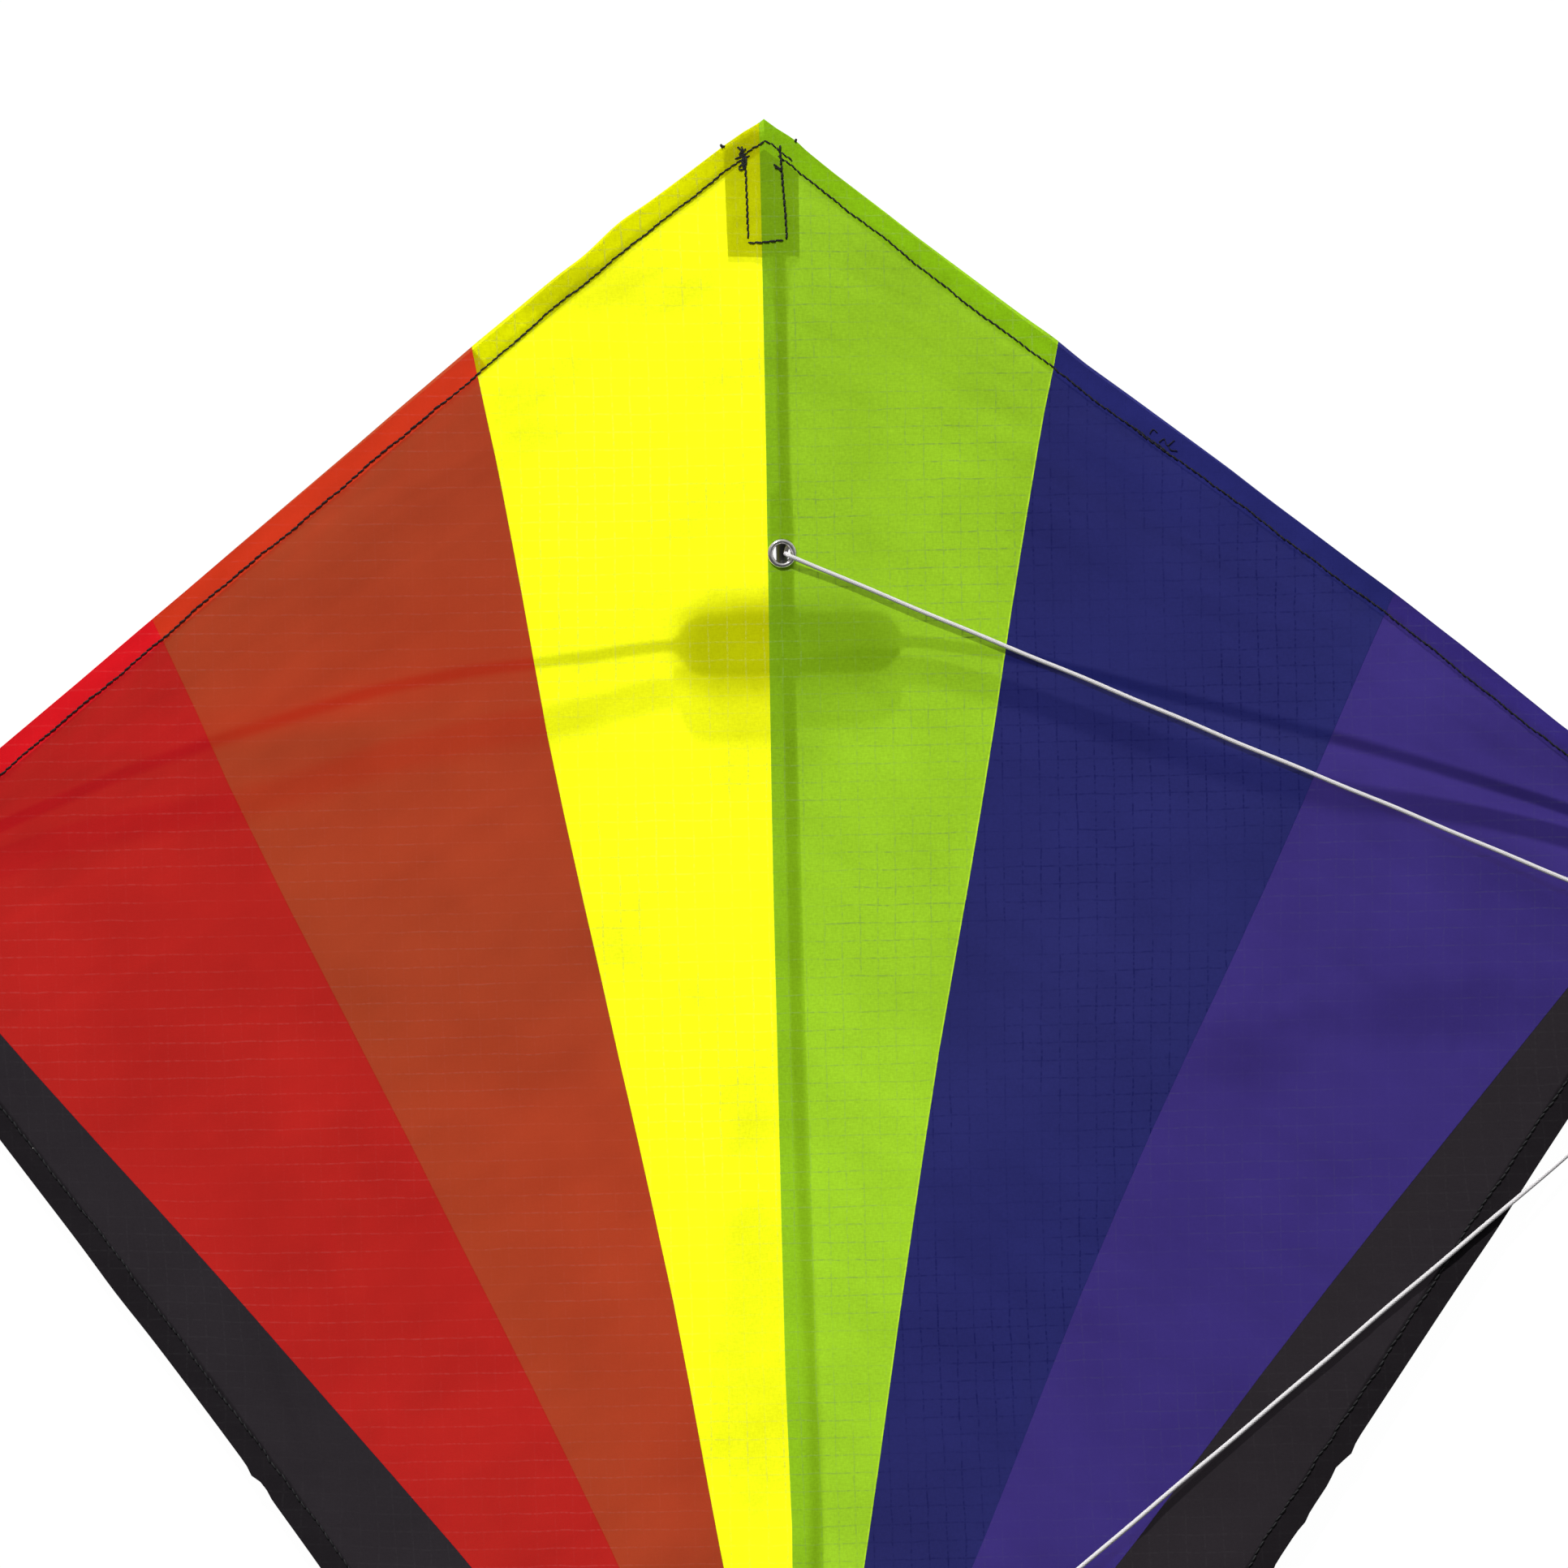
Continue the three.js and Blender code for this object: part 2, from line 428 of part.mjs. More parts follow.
const legs = {};
for (const [name, y, side] of [['bridle_leg_upper', EYELET_UP, 1], ['bridle_leg_lower', EYELET_LOW, -1]]) {
  const start = new THREE.Vector3(PIVOT.x, -y, PIVOT.z);
  const finish = knot.clone().addScaledVector(dirSide, side * 1.15).addScaledVector(dirOut, -KNOT_R - 0.45 - 0.5);
  finish.z = CORD_R + 0.6;
  const endK = finish.clone().applyMatrix4(toKite);
  const flat = new THREE.Vector2(endK.x - start.x, endK.y - start.y), len = flat.length();
  const raw = [];
  const N = 60;
  for (let i = 0; i <= N; i++) {
    const d = len * i / N;
    const x = start.x + flat.x * i / N, yk = start.y + flat.y * i / N;
    const p = floorAt(x, -yk, CORD_R + 0.3).applyMatrix4(toKite).z;
    const onSail = x < (HEIGHT + yk) / ((HEIGHT - TIP_DOWN) / HALF_SPAN) + 1;
    const wingTop = -(x - FOLD_X) * Math.tan(DIHEDRAL) + (CLOTH / 2 + GAP + CORD_R) / COS;
    let z = onSail ? Math.max(wingTop, p) : p;
    if (d < 6.2) z = Math.max(z, -(x - FOLD_X) * Math.tan(DIHEDRAL) + 1.25 + CORD_R + 0.15);
    raw.push([x, yk, z, d]);
  }
  raw[0][2] = start.z;
  // a taut line rests on the highest points: take the upper envelope over a short reach
  const pts = raw.map(([x, yk, z, d], i) => {
    let best = z;
    for (let j = 0; j < i; j++) for (let k = i + 1; k <= N; k++) {
      if (raw[k][3] - raw[j][3] > 60) continue;
      const t = (d - raw[j][3]) / (raw[k][3] - raw[j][3]);
      best = Math.max(best, raw[j][2] * (1 - t) + raw[k][2] * t);
    }
    return new THREE.Vector3(x, yk, best);
  });
  pts[N].copy(endK);
  const row = pts.map(toRow);
  row[N].copy(finish);
  legs[name] = row;
  add(bridle, name, tube(row, CORD_R, 8, 76), LINE);
}

group.updateMatrixWorld(true);
// where things turn, for whoever drives the model
const v3 = (v) => v.toArray().map((c) => Math.round(c * 1e4) / 1e4);
const up = new THREE.Vector3(0, Math.cos(TILT), Math.sin(TILT));
group.userData = {
  tilt: TILT, origin: v3(kite.position), spineAxis: v3(up),
  wingPivot: v3(toRow(new THREE.Vector3(FOLD_X, -HEIGHT / 2, 0))),
  bridlePivot: v3(toRow(new THREE.Vector3(PIVOT.x, -(EYELET_UP + EYELET_LOW) / 2, PIVOT.z))),
  ringPivot: v3(knot), ringCentre: v3(ring.position), ringNormal: v3(new THREE.Vector3().crossVectors(ringX, dirSide)), ringSide: v3(ringX),
  wingFrames: [left, right].map((w) => w.matrixWorld.toArray()), kiteFrame: kite.matrixWorld.toArray(),
  capOut: [-1, 1].map((k) => v3(new THREE.Vector3(...W([k * SPAR_END[0], SPAR_END[1]]), -4.15))), ringAxis: v3(dirSide), ringOut: v3(dirOut),
  legs: Object.fromEntries(Object.entries(legs).map(([k, p]) => [k, p.map(v3)])),
  spars: Object.fromEntries(Object.entries(spars).map(([k, p]) => [k, p.map((q) => v3(q.clone().applyMatrix4((k === 'left' ? left : right).matrixWorld)))])),
};

export default group;
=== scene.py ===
import math
import random

import bmesh
import bpy
import numpy as np
from mathutils import Matrix, Vector


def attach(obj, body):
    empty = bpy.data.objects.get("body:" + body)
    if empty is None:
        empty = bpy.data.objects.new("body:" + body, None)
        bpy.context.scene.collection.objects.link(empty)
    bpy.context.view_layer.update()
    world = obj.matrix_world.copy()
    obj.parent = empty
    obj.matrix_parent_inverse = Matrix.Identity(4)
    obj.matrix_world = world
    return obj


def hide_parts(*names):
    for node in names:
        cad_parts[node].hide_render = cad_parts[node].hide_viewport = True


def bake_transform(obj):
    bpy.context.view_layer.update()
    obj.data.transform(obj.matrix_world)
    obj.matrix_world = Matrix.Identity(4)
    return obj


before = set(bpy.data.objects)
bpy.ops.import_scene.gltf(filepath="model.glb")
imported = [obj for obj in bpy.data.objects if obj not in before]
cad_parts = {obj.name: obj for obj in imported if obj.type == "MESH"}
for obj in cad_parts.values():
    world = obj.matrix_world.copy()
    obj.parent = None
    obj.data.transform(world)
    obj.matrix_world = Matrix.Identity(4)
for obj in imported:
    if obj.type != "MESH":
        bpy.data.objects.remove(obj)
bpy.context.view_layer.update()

scene = bpy.context.scene
scene.view_settings.view_transform = "Standard"
scene.view_settings.look = "None"
random.seed(7)

# ---------------------------------------------------------------- the kite's own frame, mm
# x right of the face, y down from the nose (so kite frame Y is -y), z out of the face
TILT = 0.08235159152777016
CT, ST = math.cos(TILT), math.sin(TILT)
ORIGIN = (0.0, 369.60941493682174, 70.32821277900422)
HALF_SPAN, TIP_DOWN, HEIGHT = 325.0, 256.5, 724.0
DIH = math.radians(7.5)
CD, SD, TD = math.cos(DIH), math.sin(DIH), math.tan(DIH)
F = -1.5                       # centre seam
SPINE_X, SPINE_Z = 3.3, -6.0
CONV = 622.7
S1, S2, S3 = (98.5, 76.2), (209.2, 165.1), (312.0, 246.0)
HEM = 8.0
KL, KT = TIP_DOWN / HALF_SPAN, (HEIGHT - TIP_DOWN) / HALF_SPAN
NL, NT = math.hypot(1, KL), math.hypot(1, KT)
EYE_Y = (146.4, 566.0)
CONN_Y = 176.9


def row(xk, yk, zk):
    """kite frame (mm) to the row frame (m)"""
    xk, yk, zk = np.broadcast_arrays(*[np.asarray(a, float) for a in (xk, yk, zk)])
    return np.stack([xk + ORIGIN[0], yk * CT - zk * ST + ORIGIN[1], yk * ST + zk * CT + ORIGIN[2]], -1) / 1000.0


def unrow(p):
    """row frame (m) to the kite frame (mm)"""
    p = np.asarray(p, float) * 1000.0 - np.array(ORIGIN)
    return np.stack([p[..., 0], p[..., 1] * CT + p[..., 2] * ST, -p[..., 1] * ST + p[..., 2] * CT], -1)


def d_lead(x, y):
    return (y - np.abs(x) * KL) / NL


def d_trail(x, y):
    return (HEIGHT - np.abs(x) * KT - y) / NT


def smooth(a, b, v):
    t = np.clip((v - a) / (b - a), 0, 1)
    return t * t * (3 - 2 * t)


def ridge(x, y, p, q, width, amp, ends=0.18):
    """a soft crease from p to q: a bell across, fading towards both ends"""
    p, q = np.array(p, float), np.array(q, float)
    d = q - p
    l = np.hypot(*d)
    u = ((x - p[0]) * d[0] + (y - p[1]) * d[1]) / l
    v = ((y - p[1]) * d[0] - (x - p[0]) * d[1]) / l
    t = u / l
    return amp * np.exp(-(v / width) ** 2) * smooth(-ends, ends, t) * smooth(1 + ends, 1 - ends, t)


_r = np.random.RandomState(11)
WAVES = [(_r.uniform(0.018, 0.055), _r.uniform(0, math.pi), _r.uniform(0, 6.28), _r.uniform(0.5, 1)) for _ in range(9)]
PUCKER = [(_r.uniform(0.35, 0.95), _r.uniform(0, 6.28), _r.uniform(0.4, 1)) for _ in range(7)]


def LEG_TOUCH(x):
    """how far the cloth rises to meet the upper bridle leg as it leaves its eyelet"""
    return np.interp(x, [6, 12, 20, 90, 150, 200, 240], [0, 0.5, 0.92, 0.72, 0.45, 0.12, 0])


def lift(x, y):
    """how far the cloth stands out of its flat wing plane, mm along the kite frame's Z"""
    x, y = np.broadcast_arrays(np.asarray(x, float), np.asarray(y, float))
    a = np.abs(x - F)
    t = np.clip((y - 190) / 366.0, 0, 1)
    z = 12.0 * np.sin(np.pi * t ** 2.2) ** 2 * np.exp(-(a / 62.0) ** 1.6)
    # loose cloth in each wing, between the spine, the spar and the hems
    edge = np.minimum(d_lead(x, y), d_trail(x, y))
    free = smooth(0, 60, edge) * smooth(6, 60, a)
    w = sum(k * np.sin(f * (x * math.cos(p) + y * math.sin(p)) + q) for f, p, q, k in WAVES)
    z = z + 0.55 * w * free
    z = z - 2.4 * free * smooth(250, 330, y) * np.exp(-((a - 120) / 70.0) ** 2)
    # the taut bridle leg spans a shallow hollow in the outer right wing
    leg = 146.4 + (x - 3.5) * 0.43745
    z = z + np.where(x > 0, LEG_TOUCH(x) * np.exp(-(np.clip(np.abs(y - leg) - 2.0, 0, None) / 11.0) ** 2), 0)
    z = z - np.where(x > 0, 2.6 * smooth(150, 262, x) * smooth(312, 280, x) * np.exp(-((y - leg) / 13.0) ** 2), 0)
    # creases
    z = z + ridge(x, y, (-156, 372), (-146, 436), 3.6, 0.75)
    z = z - ridge(x, y, (-150, 368), (-138, 430), 3.0, 0.55)
    z = z + ridge(x, y, (-176, 412), (-166, 455), 3.4, 0.7)
    z = z - ridge(x, y, (-186, 402), (-178, 440), 4.2, 0.5)
    z = z + ridge(x, y, (108, 372), (112, 500), 3.2, 0.65)
    z = z - ridge(x, y, (118, 385), (120, 505), 4.0, 0.5)
    z = z + ridge(x, y, (78, 395), (84, 500), 3.6, 0.45)
    z = z + ridge(x, y, (92, 110), (150, 150), 9.0, 0.9, 0.35)
    z = z - ridge(x, y, (112, 108), (166, 140), 8.0, 0.6, 0.35)
    z = z + ridge(x, y, (-40, 330), (-16, 470), 6.0, 0.7, 0.3)
    z = z - ridge(x, y, (-55, 300), (-26, 450), 7.0, 0.5, 0.3)
    z = z + ridge(x, y, (150, 300), (225, 288), 6.0, 0.5, 0.3)
    z = z + ridge(x, y, (-245, 215), (-120, 196), 7.0, 0.6, 0.3)
    z = z + ridge(x, y, (120, 200), (240, 224), 7.0, 0.6, 0.3)
    # puckers drawn up by the hem stitching
    along = x * 0.785 + y * 0.62
    p = sum(k * np.sin(f * along + q) for f, q, k in PUCKER)
    along2 = x * 0.571 - y * 0.821
    p2 = sum(k * np.sin(f * along2 * 0.9 + q + 1) for f, q, k in PUCKER)
    z = z + 0.085 * p * np.exp(-((d_lead(x, y) - 9) / 7.0) ** 2) * smooth(12, 40, a)
    z = z + 0.085 * p2 * np.exp(-((d_trail(x, y) - 9) / 7.0) ** 2) * smooth(12, 40, a)
    # flat round each eyelet
    for ey in EYE_Y:
        r2 = (x - SPINE_X) ** 2 + (y - ey) ** 2
        z = z * (1 - np.exp(-r2 / 26.0 ** 2))
    z = z
    # but never up through the leg
    cap = np.interp(x, [6, 20, 30, 40, 52, 330], [1.5, 1.1, 0.85, 0.6, 0.36, 0.36])
    over = np.clip(z - cap, 0, None) * np.exp(-(np.clip(np.abs(y - leg) - 3.0, 0, None) / 9.0) ** 2)
    return z - np.where((x > 6) & (x < 312), over, 0)


SEAM_PULL = [(0, 0.2), (46, 0.25), (113, 0.2), (150, 0.0), (233, -0.46), (261, -0.5), (316, -0.3), (370, -0.2), (425, 0.1), (475, 1.2), (530, 0.6), (600, 0), (800, 0)]
NICKS = [  # place on the edge, which edge, push outwards, half length
    ((-46.5, 36.7), "L", 0.75, 9.0), ((-60, 47), "L", -0.45, 8.0), ((-118, 93), "L", 0.35, 22.0), ((10.9, 8.6), "L", 0.25, 2.2),
    ((96, 75.8), "L", 0.35, 9.0), ((210, 166), "L", 0.3, 16.0), ((170, 134), "L", -0.3, 20.0),
    ((-186, 456), "T", 0.8, 2.2), ((-183, 461), "T", -0.7, 3.2), ((188, 453), "T", 0.9, 2.4), ((184, 460), "T", -0.9, 3.0),
    ((172, 477), "T", 0.6, 2.6), ((160, 494), "T", 0.8, 2.6), ((-230, 393), "T", 0.4, 14.0), ((240, 379), "T", 0.4, 18.0),
]


SEAM_T = [0.0, 0.180, 0.457, 0.828]
SEAM_BOW = {
    -1.0: (((80, 0), (113, -0.3), (135, -0.75), (157, -1.1), (179, -1.6), (206, -2.15), (234, -1.9), (261, -1.35), (289, -0.6), (316, 0), (343, 0.8), (371, 1.4), (398, 1.85), (426, 1.65), (453, 1.15), (480, 0.7), (560, 0)),
           ((170, 0), (195, -0.4), (220, -1.5), (234, -1.5), (261, -1.2), (289, -0.3), (316, 0.5), (343, 1.35), (371, 1.75), (398, 2.4), (426, 2.95), (453, 3.2), (480, 3.2), (560, 1.2), (620, 0)),
           ((290, -1.1), (316, -1.1), (343, -0.3), (371, 1.1), (398, 2.1), (426, 2.8), (453, 3.5), (480, 3.9), (540, 2.6), (620, 0))),
    1.0: (((80, -0.4), (113, -1.3), (135, -1.6), (168, -1.7), (206, -1.3), (234, -1.35), (261, -1.65), (289, -2.2), (316, -2.6), (343, -2.45), (371, -2.2), (398, -1.9), (426, -1.4), (453, -0.85), (480, -0.5), (540, 0)),
          ((170, -0.2), (212, -0.1), (234, 0), (261, -0.35), (289, -1.2), (316, -2.4), (343, -3.3), (371, -3.5), (398, -3.4), (426, -2.5), (453, -1.45), (480, -0.6), (540, 0)),
          ((270, -1.6), (290, -2.2), (316, -2.6), (343, -3.0), (371, -3.3), (398, -3.3), (426, -2.7), (453, -1.5), (480, -0.4), (540, 0), (620, 0))),
}
LEAD_FULL = [(-325, 0), (-290, 0.2), (-257, 0.65), (-236, 0.86), (-214, 1.3), (-181, 1.7), (-148, 1.9), (-115, 1.95), (-94, 2.45), (-67, 2.9), (-56, 2.9),
             (-45, 2.8), (-34, 2.4), (-23, 1.9), (-12, 1.5), (-6.5, 1.0), (-2, 0.1), (4.4, 0.2), (8.5, 0.7), (15.4, 0.2), (23.6, -0.2), (40, -0.45), (52, -0.8),
             (108, -0.9), (122, -0.3), (144, 0.4), (155, 0.8), (177, 1.05), (232, 1.0), (243, 0.65), (265, -0.2), (300, 0), (325, 0)]


def warp(x, y):
    """small shifts within the face: the seam wanders a little and the hems aren't dead straight"""
    x, y = np.broadcast_arrays(np.asarray(x, float), np.asarray(y, float))
    pull = np.interp(y, [a for a, _ in SEAM_PULL], [b for _, b in SEAM_PULL])
    gx = pull * np.exp(-((x - F) / 14.0) ** 2)
    for ey in EYE_Y:
        gx = gx * (1 - np.exp(-((y - ey) / 16.0) ** 2))
    gy = np.zeros_like(gx)
    side = np.where(x < 0, -1.0, 1.0)
    for (px, py), kind, amp, half in NICKS:
        near = np.exp(-((x - px) ** 2 + (y - py) ** 2) / (2 * (half + 4.0) ** 2))
        if kind == "L":
            tl = ((x - px) * side * 1 + (y - py) * KL) / NL
            k = amp * np.exp(-(tl / half) ** 2) * np.exp(-np.clip(d_lead(x, y), 0, None) / 9.0) * (np.sign(px) == np.sign(x + 1e-9))
            gx, gy = gx + k * side * KL / NL, gy - k / NL
        else:
            tl = ((x - px) * side * 1 - (y - py) * KT) / NT
            k = amp * np.exp(-(tl / half) ** 2) * np.exp(-np.clip(d_trail(x, y), 0, None) / 7.0) * (np.sign(px) == np.sign(x + 1e-9))
            gx, gy = gx + k * side * KT / NT, gy + k / NT
    # the lower left edge was cut a little fuller in than the right one
    k = -5.0 * np.exp(-((x + 178) / 92.0) ** 2) * np.exp(-(np.clip(d_trail(x, y), 0, None) / 26.0) ** 2) * (x < 0)
    gx, gy = gx - k * KT / NT, gy + k / NT
    k = 0.75 * np.exp(-((x - 150) / 110.0) ** 2) * np.exp(-(np.clip(d_trail(x, y), 0, None) / 26.0) ** 2) * (x > 0)
    gx, gy = gx + k * KT / NT, gy + k / NT
    # the leading edges belly out or in a little between the nose and the tips
    k = np.interp(x, [q[0] for q in LEAD_FULL], [q[1] for q in LEAD_FULL]) * np.exp(-(np.clip(d_lead(x, y), 0, None) / 30.0) ** 2)
    gx, gy = gx + k * side * KL / NL * np.clip(np.abs(x) / 6.0, 0, 1), gy - k / NL
    # the seams of the gores aren't dead straight either
    t = np.abs(x - F) / np.clip(CONV - y, 8.0, None)
    held = smooth(0, 22, d_lead(x, y)) * smooth(0, 24, d_trail(x, y)) * smooth(CONV, CONV - 60, y)
    for s_, tab in SEAM_BOW.items():
        vals = [0.0 * y] + [np.interp(y, [q[0] for q in rowv], [q[1] for q in rowv]) for rowv in tab]
        f = np.interp(t, SEAM_T, [0.0, 1.0, 2.0, 3.0])
        lo = np.clip(np.floor(f), 0, 2).astype(int)
        fr = f - lo
        stack = np.stack(vals)
        va = np.take_along_axis(stack, lo[None], 0)[0]
        vb = np.take_along_axis(stack, (lo + 1)[None], 0)[0]
        gx = gx + (va * (1 - fr) + vb * fr) * held * (side == s_)
    return x + gx, y + gy


def surf(x, y, n=0.0, lifted=True):
    """a point of the sail, n mm in front of its mid-plane, in the row frame (m)"""
    x, y, n = np.broadcast_arrays(*[np.asarray(a, float) for a in (x, y, n)])
    xw, yw = warp(x, y)
    side = np.where(x < F, -1.0, 1.0)
    fold = np.clip(np.abs(xw - F) / 3.0, 0, 1)          # no gap or crossing at the fold
    z = -np.abs(xw - F) * TD + (lift(x, y) if lifted else 0.0)
    return row(xw + side * fold * n * SD, -yw, z + n * (1 - fold * (1 - CD)))


# ---------------------------------------------------------------- camera, square to the kite's face
def kdir(x, y, z):
    return Vector((x, y * CT - z * ST, y * ST + z * CT))


ROLL = 0.0213
cam = bpy.data.objects.new("camera", bpy.data.cameras.new("camera"))
scene.collection.objects.link(cam)
cx, cy = kdir(math.sqrt(1 - ROLL ** 2), -ROLL, 0), kdir(ROLL, math.sqrt(1 - ROLL ** 2), 0)
cz = kdir(0, 0, 1)
centre = Vector(row(2.35, -224.2, 0.0))
m = Matrix((cx, cy, cz)).transposed().to_4x4()
m.translation = centre + cz * 10.0
cam.matrix_world = m
cam.data.sensor_width = 36.0
cam.data.lens = 36.0 * 10.012 / 0.529368
cam.data.clip_start, cam.data.clip_end = 1.0, 60.0
scene.camera = cam

# ---------------------------------------------------------------- node helpers


class Nodes:
    def __init__(self, name):
        self.mat = bpy.data.materials.new(name)
        self.mat.use_nodes = True
        self.t = self.mat.node_tree
        self.t.nodes.clear()

    def new(self, kind, **at):
        n = self.t.nodes.new("ShaderNode" + kind)
        for k, v in at.items():
            setattr(n, k, v)
        return n

    def put(self, sock, v):
        if isinstance(v, bpy.types.NodeSocket):
            self.t.links.new(v, sock)
        elif v is not None:
            sock.default_value = v

    def math(self, op, a, b=None, c=None, clamp=False):
        n = self.new("Math", operation=op, use_clamp=clamp)
        for s, v in zip(n.inputs, (a, b, c)):
            self.put(s, v)
        return n.outputs[0]

    def range(self, v, a, b, c=0.0, d=1.0, kind="SMOOTHSTEP"):
        n = self.new("MapRange", interpolation_type=kind)
        for s, x in zip(n.inputs, (v, a, b, c, d)):
            self.put(s, x)
        return n.outputs[0]

    def mix(self, f, a, b, blend="MIX"):
        n = self.new("Mix", data_type="RGBA", blend_type=blend)
        self.put(n.inputs[0], f)
        self.put(n.inputs[6], a)
        self.put(n.inputs[7], b)
        return n.outputs[2]

    def uv(self, name="face"):
        return self.new("UVMap", uv_map=name).outputs[0]

    def scale(self, vec, s):
        n = self.new("VectorMath", operation="MULTIPLY")
        self.put(n.inputs[0], vec)
        n.inputs[1].default_value = s
        return n.outputs[0]

    def xyz(self, vec):
        n = self.new("SeparateXYZ")
        self.put(n.inputs[0], vec)
        return n.outputs

    def noise(self, vec, scale, detail=2.0, rough=0.5):
        n = self.new("TexNoise")
        self.put(n.inputs["Vector"], vec)
        n.inputs["Scale"].default_value = scale
        n.inputs["Detail"].default_value = detail
        n.inputs["Roughness"].default_value = rough
        return n.outputs[0]

    def bump(self, height, strength, distance, normal=None):
        n = self.new("Bump")
        n.inputs["Strength"].default_value = strength
        n.inputs["Distance"].default_value = distance
        self.put(n.inputs["Height"], height)
        if normal is not None:
            self.put(n.inputs["Normal"], normal)
        return n.outputs[0]

    def out(self, shader):
        o = self.new("OutputMaterial")
        self.t.links.new(shader, o.inputs["Surface"])
        return self.mat


def rgb(c):
    return (*c, 1.0)


def lin(r, g, b):
    f = lambda v: (v / 255) / 12.92 if v <= 10 else ((v / 255 + 0.055) / 1.055) ** 2.4
    return np.array([f(r), f(g), f(b)])


# ripstop cloth. face = what the front light shows, through = what light from behind shows
PITCH_X, PITCH_Y = 6.19, 5.97


def ripstop(name, face, through, hem_face=None, light=0.006, dark=0.05, cross=(0.4, 1.0), grain=0.1, rough=0.5, spec=0.02, alpha=1.0, edge=None, hub=0.0, fade=0.0, dim=()):
    n = Nodes(name)
    uv = n.uv()                                   # face coordinates, 1 unit = 100 mm
    x, y, _ = n.xyz(uv)

    def grid(v, pitch):
        ph = n.math("FRACT", n.math("MULTIPLY", v, 100.0 / pitch))
        d = n.math("ABSOLUTE", n.math("SUBTRACT", ph, 0.5))
        return n.range(d, 0.022, 0.062, 1.0, 0.0)

    wob = n.noise(uv, 9.0, 1.0)
    xs = n.math("ADD", x, n.math("MULTIPLY", n.math("SUBTRACT", wob, 0.5), 0.012))
    wob2 = n.noise(n.scale(uv, (1.3, 0.8, 1)), 7.0, 1.0)
    ys = n.math("ADD", y, n.math("MULTIPLY", n.math("SUBTRACT", wob2, 0.5), 0.012))
    vert, horiz = grid(xs, PITCH_X), grid(ys, PITCH_Y)
    # the thicker yarns dip in and out of the weave, so a line looks dashed, and it comes and goes over the cloth
    dash_v = n.range(n.noise(n.scale(uv, (16.0, 90.0, 1)), 1.0, 1.0), 0.4, 0.62, 0.15, 1.0)
    dash_h = n.range(n.noise(n.scale(uv, (60.0, 16.0, 1)), 1.0, 1.0), 0.4, 0.62, 0.3, 1.0)
    show = n.range(n.noise(uv, 2.1, 2.0), 0.36, 0.62, 0.35, 1.0)
    line = n.math("MAXIMUM", n.math("MULTIPLY", n.math("MULTIPLY", vert, dash_v), cross[0]), n.math("MULTIPLY", n.math("MULTIPLY", horiz, dash_h), cross[1]))
    line = n.math("MULTIPLY", line, show)
    # yarns: fine streaks both ways and thick and thin places; slow random tone over the cloth that also stands in for
    # painted shade of the loose cloth; and painted highlights and shade of soft creases near the hems
    yv = n.noise(n.scale(uv, (300.0, 40.0, 1)), 1.0, 2.0)
    yh = n.noise(n.scale(uv, (40.0, 300.0, 1)), 1.0, 2.0)
    mid_ = n.noise(uv, 95.0, 3.0, 0.65)
    yarn = n.math("ADD", n.math("ADD", n.math("MULTIPLY", yv, 0.25), n.math("MULTIPLY", yh, 0.3)), n.math("MULTIPLY", mid_, 0.45))
    big = n.noise(uv, 2.6, 3.0)
    fall = n.math("ADD", n.math("MULTIPLY", n.math("ABSOLUTE", x), -0.55), y)           # painted crease highlights and shade run down and outwards from the spine
    cbn = n.new("CombineXYZ")
    n.put(cbn.inputs[0], n.math("MULTIPLY", x, 1.1))
    n.put(cbn.inputs[1], n.math("MULTIPLY", fall, 7.0))
    streak = n.noise(cbn.outputs[0], 1.0, 2.0, 0.55)
    edge_in = n.math("DIVIDE", n.math("SUBTRACT", y, n.math("MULTIPLY", n.math("ABSOLUTE", x), KL)), NL)
    near_hem = n.range(edge_in, 0.10, 0.75, 1.0, 0.35)
    tone_and_painted_shade = n.math("ADD", n.math("MULTIPLY", n.math("SUBTRACT", yarn, 0.5), 4.0 * grain),
                  n.math("ADD", n.math("MULTIPLY", n.math("SUBTRACT", big, 0.5), 0.34),
                         n.math("MULTIPLY", n.math("MULTIPLY", n.math("SUBTRACT", streak, 0.5), near_hem), 0.42)))
    # painted shade: colour darker towards the nose and lighter towards the tail by this amount
    painted_shade_slope = n.range(y, 1.2, 5.2, -fade, fade, kind="LINEAR")
    tone_and_painted_shade = n.math("ADD", tone_and_painted_shade, painted_shade_slope)
    up_a = n.math("ADD", 1.0, tone_and_painted_shade)
    up_t = n.math("SUBTRACT", n.math("ADD", 1.0, n.math("MULTIPLY", tone_and_painted_shade, 1.2)), n.math("MULTIPLY", line, dark))

    if hub:      # painted shadow: the through colour darkened in a soft halo round the centre connector's shadow
        hx = n.math("MAXIMUM", n.math("SUBTRACT", n.math("ABSOLUTE", n.math("SUBTRACT", x, 0.040)), 0.20), 0.0)
        hy = n.math("MULTIPLY", n.math("SUBTRACT", y, CONN_Y / 100), 1.0)
        hd = n.math("SQRT", n.math("ADD", n.math("MULTIPLY", hx, hx), n.math("MULTIPLY", hy, hy)))
        hd = n.math("ADD", hd, n.math("MULTIPLY", n.math("SUBTRACT", n.noise(uv, 14.0, 2.0), 0.5), 0.04))
        near = n.range(hd, 0.07, 0.235, 1.0, 0.0)
        up_t = n.math("MULTIPLY", up_t, n.math("SUBTRACT", 1.0, n.math("MULTIPLY", near, hub)))

